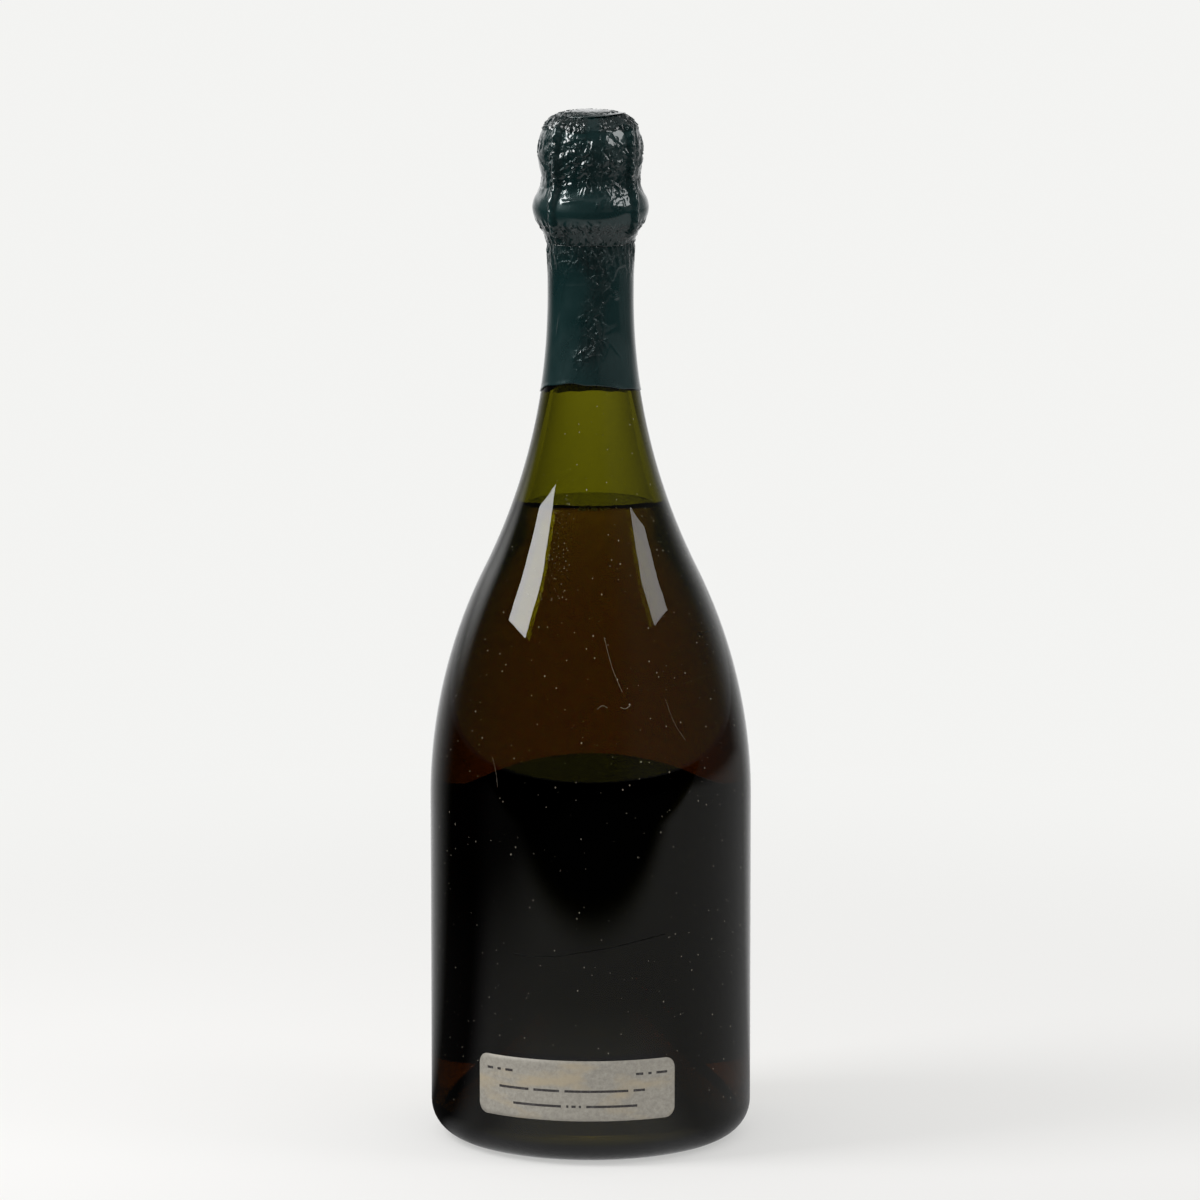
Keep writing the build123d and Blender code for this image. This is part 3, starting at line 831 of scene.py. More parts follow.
def foam_beads(glass, count=26):
    """Mesh of a few beads of foam that float near the wall at the front."""
    shape = bmesh.new()
    chance = np.random.default_rng(5)
    wall = cavity_line(glass, 0, glass.fill_height)[1]
    for _ in range(count):
        size = chance.uniform(0.16, 0.42) * MM
        angle = FRONT + chance.normal(0.04, 0.16)
        reach = wall - chance.uniform(1.4, 2.8) * MM
        bead = bmesh.ops.create_icosphere(shape, subdivisions=2, radius=size)
        place = Vector((reach * cos(angle), reach * sin(angle), glass.fill_height + size * 0.6))
        bmesh.ops.translate(shape, verts=bead["verts"], vec=place)
    mesh = bpy.data.meshes.new("foam_beads")
    shape.to_mesh(mesh)
    shape.free()
    mesh.shade_smooth()
    return mesh


class BOTTLE_OT_wine(bpy.types.Operator):
    """Fill the bottle with wine and leave a few beads of foam at its surface"""

    bl_idname = "bottle.wine"
    bl_label = "Wine"

    def execute(self, context):
        settings = context.scene.bottle
        glass = settings.glass
        material = clear_material("wine", tuple(settings.finish.wine), density=50.0, ior=1.34)
        mesh = revolved("wine_fill", wine_line(glass))
        for vertex in mesh.vertices:
            climbed = vertex.co.z - glass.fill_height
            if climbed > 0:
                around = (1 + vertex.co.y / vertex.co.xy.length) / 2
                vertex.co.z = glass.fill_height + climbed * (1 - around)
        add_piece(mesh, "bottle", material, ["wine"])
        foam = new_material("foam", base_color=(0.75, 0.75, 0.35), roughness=0.1, transmission_weight=0.7)[0]
        add_piece(foam_beads(glass), "bottle", foam)
        return {"FINISHED"}


def label_sheet(name, inner, thickness, turn, places, feet, tops, rows=12):
    """Curved sheet of paper from its width's places, with the height of its foot and top at each."""
    shares = np.linspace(0, 1, rows)
    outer = inner + thickness
    angles = turn + places / outer
    heights = feet[:, None] + (tops - feet)[:, None] * shares
    sides = [around_axis(radius, angles[:, None], heights).reshape(-1, 3) for radius in (outer, inner)]
    columns = len(places)
    vertices = np.concatenate(sides)
    back = columns * rows
    faces = []
    for column in range(columns - 1):
        for row in range(rows - 1):
            a = column * rows + row
            faces.append((a, a + rows, a + rows + 1, a + 1))
            faces.append((back + a, back + a + 1, back + a + rows + 1, back + a + rows))
    rim = [column * rows for column in range(columns)]
    rim += [(columns - 1) * rows + row for row in range(1, rows)]
    rim += [column * rows + rows - 1 for column in range(columns - 2, -1, -1)]
    rim += [row for row in range(rows - 2, 0, -1)]
    for a, b in zip(rim, rim[1:] + rim[:1]):
        faces.append((a, back + a, back + b, b))
    mesh = mesh_from(name, vertices, faces)
    for edge_face in mesh.polygons[-len(rim):]:
        edge_face.use_smooth = False
    # The side against the glass is marked for the paper's painted shade.
    mark(mesh, "back_painted_shade", np.repeat([0.0, 1.0], back))
    return mesh


def corner_drop(places, half, rounding):
    """How far a rounded corner has drawn the edge in at each place."""
    into = np.clip(np.abs(places) - (half - rounding), 0, rounding)
    return rounding - np.sqrt(np.maximum(rounding**2 - into**2, 0))


def label_places(half, rounding):
    """Places across a label, closer together at its rounded ends."""
    turn = np.linspace(0, pi / 2, 9)
    end = half - rounding + rounding * np.sin(turn)
    middle = np.linspace(-(half - rounding), half - rounding, 61)[1:-1]
    return np.concatenate([-end[::-1], middle, end])


def printed_rules(name, inner, turn, rows, side_gap):
    """Printed rules in rows, which say nothing. A row is its height, thickness, start and lengths."""
    vertices = []
    faces = []
    for height, thick, start, lengths in rows:
        place = start
        for dash in lengths:
            steps = max(2, int(dash / (1.5 * MM)))
            first = len(vertices)
            for step in range(steps + 1):
                angle = turn + (place + dash * step / steps) / inner
                for z in (height - thick / 2, height + thick / 2):
                    vertices.append((inner * cos(angle), inner * sin(angle), z))
            for step in range(steps):
                a = first + 2 * step
                faces.append((a, a + 2, a + 3, a + 1))
            place += dash + side_gap
    mesh = bpy.data.meshes.new(name)
    mesh.from_pydata(vertices, [], faces)
    return mesh


def in_metres(rows, level):
    """Rows of a print in metres, from rows in millimetres over a level."""
    return [
        (level + above * MM, thick * MM, start * MM, [dash * MM for dash in dashes])
        for above, thick, start, dashes in rows
    ]


# Rows of both labels' print: height over the top or the middle, thickness, start and lengths
BACK_PRINT = (
    (-3.9, 0.7, -26.8, [2.0, 1.2, 2.4]),
    (-4.1, 0.7, 17.8, [2.2, 1.0, 3.4]),
    (-8.8, 0.7, -22.6, [9.4, 7.6, 18.2, 3.4]),
    (-13.2, 0.7, -18.0, [14.4, 4.2, 14.6]),
)
FRONT_PRINT = (
    (12, 4.6, -30, [17, 9, 28]),
    (2, 2.4, -21, [12, 8, 17]),
    (-8, 0.5, -26, [52]),
    (-14, 2.0, -16, [9, 6, 12]),
)

# Lines along the front label's edges: distance from the edge and thickness
FRONT_BORDERS = ((3.2, 0.9), (5.0, 0.3))


class BOTTLE_OT_labels(bpy.types.Operator):
    """Paste the small back label and the large front label on the body"""

    bl_idname = "bottle.labels"
    bl_label = "Labels"

    def execute(self, context):
        settings = context.scene.bottle
        label = settings.label
        finish = settings.finish
        inner = settings.glass.body_radius + label.gap
        ink_line = inner + label.thickness + 0.008 * MM

        half = label.back_width / 2
        places = label_places(half, label.back_rounding)
        drop = corner_drop(places, half, label.back_rounding)
        feet = BACK_LOW.z + drop
        tops = BACK_HIGH.z - drop
        mesh = label_sheet("label_back", inner, label.thickness, label.back_turn, places, feet, tops)
        paper = paper_material("silver paper", tuple(finish.paper), (0.44, 0.365, 0.25))
        add_piece(mesh, "bottle", paper, ["back_label"])
        rules = in_metres(BACK_PRINT, BACK_HIGH.z)
        mesh = printed_rules("label_back_print", ink_line, label.back_turn, rules, 1.5 * MM)
        add_piece(mesh, "bottle", ink_material("dark ink", tuple(finish.ink)))

        half = label.front_width / 2
        crest_half = label.front_crest_width / 2
        places = label_places(half, label.front_rounding)
        drop = corner_drop(places, half, label.front_rounding)
        shoulder = FRONT_HIGH.z - label.front_crest
        arch_radius = (crest_half**2 + label.front_crest**2) / (2 * label.front_crest)
        within = np.minimum(np.abs(places), crest_half)
        crest = np.sqrt(arch_radius**2 - within**2) - (arch_radius - label.front_crest)
        tops = shoulder + np.maximum(crest, 0) - drop
        feet = FRONT_LOW.z + drop
        mesh = label_sheet("label_front", inner, label.thickness, BACK, places, feet, tops, 24)
        paper = paper_material("cream paper", tuple(finish.front_paper), (0.50, 0.40, 0.24), 500.0)
        add_piece(mesh, "bottle", paper, ["front_label"])
        middle = (FRONT_LOW.z + shoulder) / 2
        reach = half - 3 * MM
        rules = []
        for edge, inwards in ((FRONT_LOW.z, 1), (shoulder, -1)):
            for away, thick in FRONT_BORDERS:
                rules.append((edge + inwards * away * MM, thick * MM, -reach, [2 * reach]))
        rules += in_metres(FRONT_PRINT, middle)
        mesh = printed_rules("label_front_print", ink_line, BACK, rules, 2.5 * MM)
        add_piece(mesh, "bottle", ink_material("green ink", tuple(finish.front_ink)))
        return {"FINISHED"}


def field(sheet, scale, offset=0.0):
    """Smooth noise between -1 and 1 at each point of a sheet."""
    shift = Vector((offset, offset, offset))
    values = [noise.noise(Vector(p) * scale + shift) for p in sheet.reshape(-1, 3)]
    return np.reshape(values, sheet.shape[:2])


def ridged(sheet, scale, offset=0.0):
    """Noise with sharp ridges, between about 0 and 1 at each point of a sheet."""
    shift = Vector((offset, -offset, offset))
    values = [1 - abs(noise.noise(Vector(p) * scale + shift)) * 2.2 for p in sheet.reshape(-1, 3)]
    return np.clip(np.reshape(values, sheet.shape[:2]), 0, 1)


def crease_net(sheet, cells, seed, crisp, tilt):
    """Sharp ridges between the flat facets of a crushed sheet, and the heights of the tilted facets."""
    chance = np.random.default_rng(seed)
    points = sheet.reshape(-1, 3)
    seeds = points[chance.choice(len(points), cells, replace=False)]
    apart = (points**2).sum(axis=1)[:, None] + (seeds**2).sum(axis=1) - 2 * points @ seeds.T
    nearest = np.argpartition(apart, 1, axis=1)[:, :2]
    pair = np.sqrt(np.maximum(np.take_along_axis(apart, nearest, axis=1), 0))
    order = np.argsort(pair, axis=1)
    pair = np.take_along_axis(pair, order, axis=1)
    first = np.take_along_axis(nearest, order, axis=1)[:, 0]
    ridges = np.exp(-(pair[:, 1] - pair[:, 0]) / crisp)
    slopes = chance.normal(0, tilt, seeds.shape)
    facets = ((points - seeds[first]) * slopes[first]).sum(axis=1)
    return ridges.reshape(sheet.shape[:2]), facets.reshape(sheet.shape[:2])


def turned_from(angles, middle):
    """Turn of each angle from a middle one, between minus and plus half a round."""
    return (angles - middle + pi) % (2 * pi) - pi


def hump(values, middle, width, power=2):
    """1 at the middle, and less and less beyond a width on both sides of it."""
    return np.exp(-(((values - middle) / width) ** power))


def eased(distance, run):
    """Share of a run that a distance has covered, between 0 and 1."""
    return np.clip(distance / run, 0, 1)


# Heights in the foil
CROWN_BAND = 290.1 * MM
WAIST = 281 * MM
PLEATS_TOP = 265.4 * MM
TUCKED_IN = 264.8 * MM
PLEATS_MIDDLE = 258 * MM
PLEATS_FOOT = 249 * MM
SEAM_GATHER = 228 * MM

# Runs over which the foil's pushes come in, and how deep its pleats are
UNDER_RING_RUN = 1.6 * MM
PLEATS_RUN = 10 * MM
PLEAT_DEPTH = 0.17 * MM
PLEAT_RIPPLE = 0.06 * MM
PLEAT_SWELL = 0.15 * MM


def pleats_under_ring(sheet, angles, heights):
    """Push of the pleats that run from under the ring down to the neck."""
    above_middle = heights - PLEATS_MIDDLE
    waver = field(sheet, 210, 1)
    share = eased(PLEATS_TOP - heights, UNDER_RING_RUN) * eased(heights - PLEATS_FOOT, PLEATS_RUN)
    slanted = 34 * angles + 520 * above_middle + 3.5 * waver
    fine = 81 * angles - 900 * above_middle + 4 * waver
    pleats = PLEAT_DEPTH * (1 - 2 * np.abs(np.sin(slanted / 2)))
    return share * (pleats + PLEAT_RIPPLE * np.sin(fine) + PLEAT_SWELL)


def segment_distance(across, height, fold):
    """Distance of each point of the unrolled foil from a fold's line, and how far along it lies."""
    x0, z0, x1, z1 = fold
    run = (x1 - x0) ** 2 + (z1 - z0) ** 2
    t = np.clip(((across - x0) * (x1 - x0) + (height - z0) * (z1 - z0)) / run, 0, 1)
    return np.hypot(across - x0 - t * (x1 - x0), height - z0 - t * (z1 - z0)), t


def add_foil(mesh, body, material, crumple, thickness, node):
    """Show a sheet of foil that knows how crumpled each of its points is, and thicken it inwards."""
    # The material reads crumple both for the creases' bump and for their painted shade.
    mark(mesh, "crumple", crumple)
    piece = add_piece(mesh, body, material, [node])
    solid = piece.modifiers.new("thickness", "SOLIDIFY")
    solid.thickness = thickness
    solid.offset = -1


# The neck foil's lower edge: degrees round from the front, and how much of its full hang it has there
NECK_EDGE = [
    (-180, 1.0), (-150, 0.98), (-120, 0.86), (-90, 0.66), (-68, 0.3), (-52, 0.07), (-38, -0.01),
    (-25, -0.11), (-12, -0.08), (0, -0.04), (11, 0.02), (23, 0.08), (36, 0.19), (49, 0.3),
    (61, 0.36), (75, 0.46), (90, 0.6), (120, 0.82), (150, 0.96), (180, 1.0),
]

# Lines in the neck's foil: across from the front and height at both ends in millimetres, and depth
NECK_LINES = (
    (-9.5, 240, -7.2, 251, 0.5),
    (-10.4, 232, -9.6, 238, 0.9),
    (-2.5, 219.5, 2.6, 224, 0.35),
    (0.5, 220, 5.8, 232, 0.4),
    (5.0, 231, 8.8, 226, 0.3),
    (-4.6, 226, -1.4, 229, 0.8),
    (-0.4, 227, 1.2, 229.4, 1.3),
    (-5.2, 228, -3.2, 223, 0.6),
    (3.2, 233, 7.4, 235, 0.3),
    (6.8, 243, 8.6, 243.4, 0.7),
    (6.9, 244.2, 8.0, 244.6, 0.6),
    (-7.6, 246.4, -1.0, 246.8, 0.25),
    (2.4, 246, 3.8, 247.6, 0.8),
    (-3.4, 236, -2.4, 240, 0.4),
    (-6.4, 252, -3.8, 257, 0.6),
    (4.6, 252, 7.8, 257, 0.6),
)


class BOTTLE_OT_neck_foil(bpy.types.Operator):
    """Wrap the foil round the neck, with its wavy foot and the crinkled band of its seam"""

    bl_idname = "bottle.neck_foil"
    bl_label = "Neck Foil"

    def execute(self, context):
        settings = context.scene.bottle
        foil = settings.foil
        glass = settings.glass
        rows, columns = 150, 288
        angles = round_angles(columns)
        turned = turned_from(angles, FRONT)
        top = NECK_FOIL_HIGH.z
        wave = np.sin(9 * angles + 1) * 0.14 + np.sin(16 * angles) * 0.05
        edge = np.array(smooth_line(NECK_EDGE, 240))
        hang = foil.hang * np.interp(np.degrees(turned), edge[:, 0], edge[:, 1])
        foot = NECK_FOIL_LOW.z + foil.wave * wave - hang
        z = foot + (top - foot) * np.linspace(0, 1, rows)[:, None]
        neck_foot = glass_heights(glass)[1] - glass.neck_length
        below = np.maximum(neck_foot - z, 0)
        centre = glass.neck_radius + glass.neck_arc
        radius = centre - np.sqrt(glass.neck_arc**2 - below**2) + foil.gap + foil.thickness
        sheet = around_axis(radius, angles, z)

        # The seam's crinkled band, and the gathers under the ring
        wander = 0.10 * np.sin(z * 160) + 0.06 * np.sin(z * 410 + 1)
        seam = hump(turned - 0.06 - wander, 0, 0.30, 4) * eased(z - foot, 9 * MM)
        low = hump(z, SEAM_GATHER, 6 * MM)
        gather = hump(z, top, 7 * MM)
        crumple = np.clip(seam * (0.62 + 0.38 * low) + 0.75 * gather, 0, 1)
        ridges, facets = crease_net(sheet * np.array([1, 1, 0.42]), 520, 3, 0.22 * MM, 0.16)
        crease = ridges + facets / (0.3 * MM)
        slow = field(sheet, 70, 9)
        push = crumple * np.clip(crease, -0.4, 1.4) * foil.crumple * 2.0 + (slow + 1) * 0.03 * MM

        for x0, z0, x1, z1, depth in NECK_LINES:
            line = (x0 * MM, z0 * MM, x1 * MM, z1 * MM)
            distance, t = segment_distance(turned * glass.neck_radius, z, line)
            push += depth * foil.fold * 1.2 * np.exp(-distance / (0.3 * MM)) * np.sin(pi * (0.1 + 0.8 * t))
        push *= eased(top - 0.3 * MM - z, 2.2 * MM)
        push = np.maximum(push + pleats_under_ring(sheet, angles, z), 0)
        lifted = hump(z, foot, 0.8 * MM) * (field(sheet, 150, 4) + 0.6)
        push += np.maximum(lifted, 0) * 0.16 * MM
        mesh = wrapped("foil_on_neck", around_axis(radius + push, angles, z)[::-1])
        material = foil_material(tuple(settings.finish.foil))
        add_foil(mesh, "bottle", material, crumple[::-1], foil.thickness, "foil_neck")
        return {"FINISHED"}


def hood_outline(rows):
    """Smooth outline of the hood, from its crown down to the tear line, in radius and height."""
    points = [
        (0.0, 295.05), (3.6, 294.95), (7.2, 294.45), (9.6, 293.75), (11.6, 292.6), (12.85, 291.2),
        (13.75, 289.7), (14.45, 287.3), (14.75, 284.4), (14.65, 281.5), (14.25, 279.0), (13.9, 276.8),
        (14.2, 274.2), (15.0, 272.2), (16.0, 270.4), (16.5, 268.3), (16.4, 266.6), (15.9, 265.0),
        (15.2, 263.8), (14.4, 262.7), (13.7, 261.6), (13.05, 260.4), (12.6, 259.2), (12.4, 258.0),
    ]
    return smooth_line(np.array(points) * MM, rows)


def profile(height, pairs):
    """Value at each height, from pairs of a height and a value in millimetres."""
    heights, values = np.array(pairs, float).T * MM
    return np.interp(height, heights, values)


# Height and radius that the hood needs to clear the cork's head, the plaque and the glass ring
CORK_CLEARANCE = (
    (258, 12.3), (262, 14.0), (263, 14.1), (263.5, 14.5), (264.5, 15.65), (266.2, 16.15), (268.3, 16.15),
    (269.5, 15.9), (270.5, 15.3), (271.2, 13.6), (274.8, 13.4), (276.6, 13.9), (278, 14.15), (280, 14.4),
    (281.5, 14.55), (283, 14.6), (285, 14.6), (286.5, 14.45), (288, 13.95), (289, 13.4), (290.4, 12.6),
)

# Height and how far the folded loop pushes the hood out there
LOOP_PUSH = (
    (258, 0), (259, 0.7), (260.5, 2.9), (262, 3.7), (264, 2.5), (267, 1.5), (270, 2.2), (272, 3.0),
    (274, 3.3), (276.6, 3.5), (280, 2.3), (283, 1.8), (285.5, 1.3), (287.2, 0),
)

# Height and half of the loop's width there
LOOP_WIDTH = ((270.5, 1.5), (274, 5), (283, 5), (286, 3))

# Millimetres round the hood in one degree
DEGREE = 0.252

# Degrees on each side of the front that have folds of their own
FRONT_REACH = 56


def dense_line(points, count):
    """The same line with points at even distances."""
    points = np.array(points)
    travelled = np.append(0, np.hypot(*np.diff(points, axis=0).T).cumsum())
    places = np.linspace(0, travelled[-1], count)
    return np.stack([np.interp(places, travelled, column) for column in points.T], axis=1)


def cover_over(wire, outline, normal, radius):
    """Push along the outline's normals that clears a wire of a given radius."""
    apart = wire[None, :, :] - outline[:, None, :]
    along = (apart * normal[:, None, :]).sum(axis=2)
    aside = apart[:, :, 0] * normal[:, None, 1] - apart[:, :, 1] * normal[:, None, 0]
    reach = along + np.sqrt(np.maximum(radius**2 - aside**2, 0))
    return np.where(np.abs(aside) < radius, reach, 0).max(axis=1).clip(0)


def leg_path():
    """Middle line of a leg's twisted wire, from the plaque's ring to its hook under the belt."""
    low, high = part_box("cage_leg_1")
    foot = low.z + LEG_RADIUS
    head = high.z - LEG_RADIUS
    head_line = 15.15 * MM
    ring_line = 16.75 * MM
    bend = 1.6 * MM
    return rounded_line(
        [
            (11.6 * MM, head, 0),
            (head_line, head, 3.5 * MM),
            (head_line, 274.6 * MM, bend),
            (ring_line, 271.0 * MM, bend),
            (ring_line, 265.0 * MM, bend),
            (ring_line - bend, foot, bend),
            (13.4 * MM, foot, 0),
        ]
    )


def leg_turn(wire, index):
    """Direction of one of the legs."""
    return (index + 0.5) * 2 * pi / wire.leg_count + wire.cage_turn


def front_folds():
    """Folds at the front: degrees to the right and height at both ends, and depth."""
    ridges = [
        (-31, 278.9, -18, 280.3, 0.9), (-30, 281.6, -14, 282.0, 0.8), (-34, 275.6, -20, 278.2, 1.2),
        (-12, 277.6, -1, 281.0, 1.2), (-11, 281.4, -3, 284.6, 1.0), (-1, 284.6, 3, 288.0, 0.8),
        (2, 284.0, 5, 285.6, 0.9), (6, 280.4, 27, 277.0, 0.9), (9, 281.2, 22, 281.4, 0.4),
        (-3, 276.8, -7, 272.6, 1.1), (-6, 276.0, -12, 272.4, 0.6), (2, 276.6, 1, 272.6, 0.8),
        (5, 277.2, 12, 272.8, 0.8), (12, 276.4, 7, 272.4, 0.9), (14, 276.0, 22, 272.2, 1.0),
        (20, 276.8, 35, 274.4, 0.9), (26, 274.6, 23, 271.6, 0.8), (33, 274.8, 36, 271.8, 1.1),
        (42, 274.0, 54, 276.4, 0.7), (-33, 270.5, -9, 271.3, 1.2),
        (-24, 284.6, -32, 282.0, 0.7), (-27, 286.8, -19, 288.4, 0.8),
        (-36, 285.4, -26, 283.0, 0.8), (-40, 281.0, -30, 284.4, 0.9), (-44, 284.6, -38, 280.6, 0.7),
        (-20, 286.0, -14, 287.6, 0.5), (22, 288.4, 44, 283.4, 0.9), (26, 289.4, 50, 283.0, 0.7),
        (34, 280.0, 39, 282.6, 0.9), (46, 283.0, 52, 279.4, 0.7), (40, 286.0, 52, 282.4, 0.6),
        (-54, 287.0, -50, 279.0, 0.6), (-56, 276.6, -60, 272.0, 0.7), (-52, 277.4, -53, 272.4, 0.6),
    ]
    valleys = [
        (-31, 277.2, -16, 280.2, -1.5), (-16, 280.2, -2, 284.2, -1.5), (-2, 284.2, 1, 289.6, -1.0),
        (-1, 281.6, 12, 279.4, -1.2), (12, 279.4, 28, 276.2, -1.2), (28, 276.2, 40, 274.8, -1.0),
        (-1, 280.0, -2, 274.0, -0.8), (36, 279.4, 44, 277.0, -1.8), (-22, 285.6, -38, 278.8, -0.9),
        (20, 289.0, 40, 285.0, -0.8), (30, 288.6, 50, 281.0, -0.8), (5, 276.4, 9, 272.6, -0.7),
    ]
    return ridges + valleys


def hood_folds(seed):
    """Folds of the hood: across from the front and height at both ends in metres, and depth."""
    chance = np.random.default_rng(seed)
    folds = [(a * DEGREE * MM, b * MM, c * DEGREE * MM, d * MM, depth) for a, b, c, d, depth in front_folds()]
    for side, count, lowest, highest in ((-1, 60, 274, 288.5), (1, 40, 274, 288.5), (1, 34, 268.8, 273.5)):
        for _ in range(count):
            start = side * chance.uniform(3, FRONT_REACH)
            low = chance.uniform(lowest, highest)
            reach = chance.uniform(0.9, 2.6)
            lean = -side * chance.normal(0.7, 0.5)
            end = start * DEGREE + reach * cos(lean)
            high = low + reach * abs(sin(lean))
            folds.append((start * DEGREE * MM, low * MM, end * MM, high * MM, chance.uniform(0.5, 1.1)))
    for _ in range(110):
        start = chance.uniform(-180, 180)
        if abs(start) < FRONT_REACH:
            continue
        low = chance.uniform(272, 286)
        lean = chance.normal(0, 14)
        high = low + chance.uniform(1.5, 6)
        depth = chance.choice((-1.0, 1.0)) * chance.uniform(0.6, 1.2)
        folds.append((start * DEGREE * MM, low * MM, (start + lean) * DEGREE * MM, high * MM, depth))
    return folds


def wires_under_hood(foil, wire, outline, normal, angles, round_run):
    """Push of the cage's legs and of the folded loop on the hood that lies over them."""
    height = outline[:, 1:]
    leg_line = dense_line(leg_path(), 240)
    leg_push = cover_over(leg_line, outline, normal, LEG_RADIUS + 0.15 * MM)[:, None]
    push = np.zeros((len(outline), len(angles)))
    for index in range(wire.leg_count):
        away = turned_from(angles, leg_turn(wire, index)) * round_run
        rope = 0.13 * MM * np.sin(2 * pi * (height + 0.8 * away) / foil.rope_pitch)
        ridge = hump(away, 0, 1.0 * MM, 4) * 0.7 + hump(away, 0, 1.7 * MM) * 0.3
        push = np.maximum(push, (leg_push + rope * (leg_push > 0.5 * MM)) * ridge)
    away = np.abs(turned_from(angles, BACK)) * round_run
    ridge = 1 / (1 + np.exp((away - profile(height, LOOP_WIDTH)) / (0.45 * MM)))
    return np.maximum(push, profile(height, LOOP_PUSH) * ridge)


def top_disc(outline):
    """Mesh of the thin disc on the hood's crown, and how crumpled each of its points is."""
    rows, columns = 26, 120
    reach = np.linspace(0.02, 9.75, rows) * MM
    angles = round_angles(columns)
    share = (reach / reach[-1])[:, None]
    edge = 1 + 0.025 * np.sin(3 * angles) + 0.012 * np.sin(11 * angles + 1)
    front_lift = np.clip(np.cos(angles - radians(-30)), 0, 1) ** 2 * 0.75
    back_lift = np.clip(np.cos(angles - radians(130)), 0, 1) * 0.2
    crown_line = np.interp(reach, outline[:, 0], outline[:, 1])[:, None]
    rise = crown_line + 0.26 * MM + (front_lift + back_lift) * MM * share**6
    x = reach[:, None] * np.cos(angles) * edge
    y = reach[:, None] * np.sin(angles) * edge
    wrinkles = ridged(np.stack([x, y, x * 0], axis=2), 420, 6)
    rise = np.minimum(rise + 0.07 * MM * wrinkles, HOOD_HIGH.z + 0.2 * MM)
    mesh = wrapped("foil_disc_pressed", np.stack([x, y, rise], axis=2), True)
    return mesh, np.append(0.3 * wrinkles, 0.2)


class BOTTLE_OT_hood_foil(bpy.types.Operator):
    """Press the foil hood over cork, cage and ring, and lay the thin disc on its crown"""

    bl_idname = "bottle.hood_foil"
    bl_label = "Hood Foil"

    def execute(self, context):
        settings = context.scene.bottle
        foil = settings.foil
        rows, columns = 156, 300
        outline = hood_outline(rows)
        slope = np.gradient(outline, axis=0)
        normal = np.stack([-slope[:, 1], slope[:, 0]], axis=1)
        normal /= np.linalg.norm(normal, axis=1)[:, None]
        turn = round_angles(columns)
        angles = FRONT + turn - 0.5 * np.sin(turn)
        round_run = np.maximum(outline[:, :1], 10 * MM)
        z = np.repeat(outline[:, 1:], columns, axis=1)
        sheet = around_axis(outline[:, :1], angles, z)
        push = wires_under_hood(foil, settings.wire, outline, normal, angles, round_run)

        right = np.degrees(turned_from(angles, FRONT))
        across = np.radians(right)[None, :] * round_run
        creased = np.zeros((rows, columns))
        for *fold, depth in hood_folds(foil.seed):
            distance, t = segment_distance(across, z, fold)
            width = (0.30 if depth > 0 else 0.75) * MM
            creased += depth * np.exp(-distance / width) * np.sin(pi * (0.12 + 0.76 * t)) ** 0.5

        # The crown's band, the waist and the part tucked in under the ring are crumpled, each in its own way
        around = field(sheet, 120, 8) * 0.5 + 0.5
        small, small_tilt = crease_net(sheet, 1700, 2, 0.20 * MM, 0.55)
        large, large_tilt = crease_net(sheet, 620, 4, 0.28 * MM, 0.34)
        band_edge = CROWN_BAND + 0.22 * MM * np.sin(5 * angles + 1) + 0.12 * MM * np.sin(11 * angles)
        band = eased(z - band_edge, 0.25 * MM)
        crown = band * (1 - 0.75 * hump(right, 3, 9, 4))
        under = eased(TUCKED_IN - z, UNDER_RING_RUN)
        waist = hump(z, WAIST, 7.5 * MM, 4) * (1 - band)
        crumple = np.clip(0.95 * crown + 0.8 * under + waist * (0.25 + 0.7 * around) + 0.04, 0, 1)
        push += foil.fold * np.clip(creased, -1.1, 1.4)
        small_tilt = np.clip(small_tilt, -0.22 * MM, 0.22 * MM)
        large_tilt = np.clip(large_tilt, -0.24 * MM, 0.24 * MM)
        push += foil.crumple * (crown + 0.5 * under) * small + (crown + 0.6 * under) * small_tilt
        push += foil.crumple * waist * around * 1.1 * large + waist * large_tilt
        push += 0.20 * MM * band
        push += pleats_under_ring(sheet, angles, z)
        push += 0.05 * MM * field(sheet, 100, 6)
        push[0] = push[0].mean()

        # The pushed foil stays under the disc and clear of what it covers, and its torn edge is uneven
        radius = outline[:, :1] + normal[:, :1] * push
        rise = np.minimum(outline[:, 1:] + normal[:, 1:] * push, HOOD_HIGH.z)
        covered = rise < CORK_CLEARANCE[-1][0] * MM
        radius = np.maximum(radius, np.where(covered, profile(rise, CORK_CLEARANCE), 0))
        tear = np.sin(7 * angles) * 0.2 + np.sin(13 * angles + 1) * 0.15
        rise[-6:] += tear * 0.5 * MM * np.linspace(0, 1, 6)[:, None]
        radius[0] = 0.05 * MM
        mesh = wrapped("foil_hood_pressed", around_axis(radius, angles, rise), True)
        material = foil_material(tuple(settings.finish.foil))
        add_foil(mesh, "hood", material, np.append(crumple, 0.5), foil.thickness, "foil_hood")
        mesh, crumple = top_disc(outline)
        add_foil(mesh, "hood", material, crumple, foil.thickness, "foil_top_disc")
        return {"FINISHED"}


class BOTTLE_OT_cork(bpy.types.Operator):
    """Finish the cork, its two discs and the plaque"""

    bl_idname = "bottle.cork"
    bl_label = "Cork and Plaque"

    def execute(self, context):
        finish = context.scene.bottle.finish
        dress("cork_body", pressed_cork_material(tuple(finish.cork)))
        solid_cork = natural_cork_material(tuple(finish.cork))
        dress("cork_disc_upper", solid_cork)
        dress("cork_disc_lower", solid_cork)
        dress("plaque", plaque_material(tuple(finish.plaque)))
        return {"FINISHED"}


# The folded loop: its stem stands off the neck and ends under a leaning eye
STEM_LINE = 16.9 * MM
STEM_TOP = 271.5 * MM
EYE_LEAN = radians(7)
EYE_LENGTH = 13.5 * MM
EYE_BEND = 4.2 * MM
EYE_WIRE = 0.5 * MM


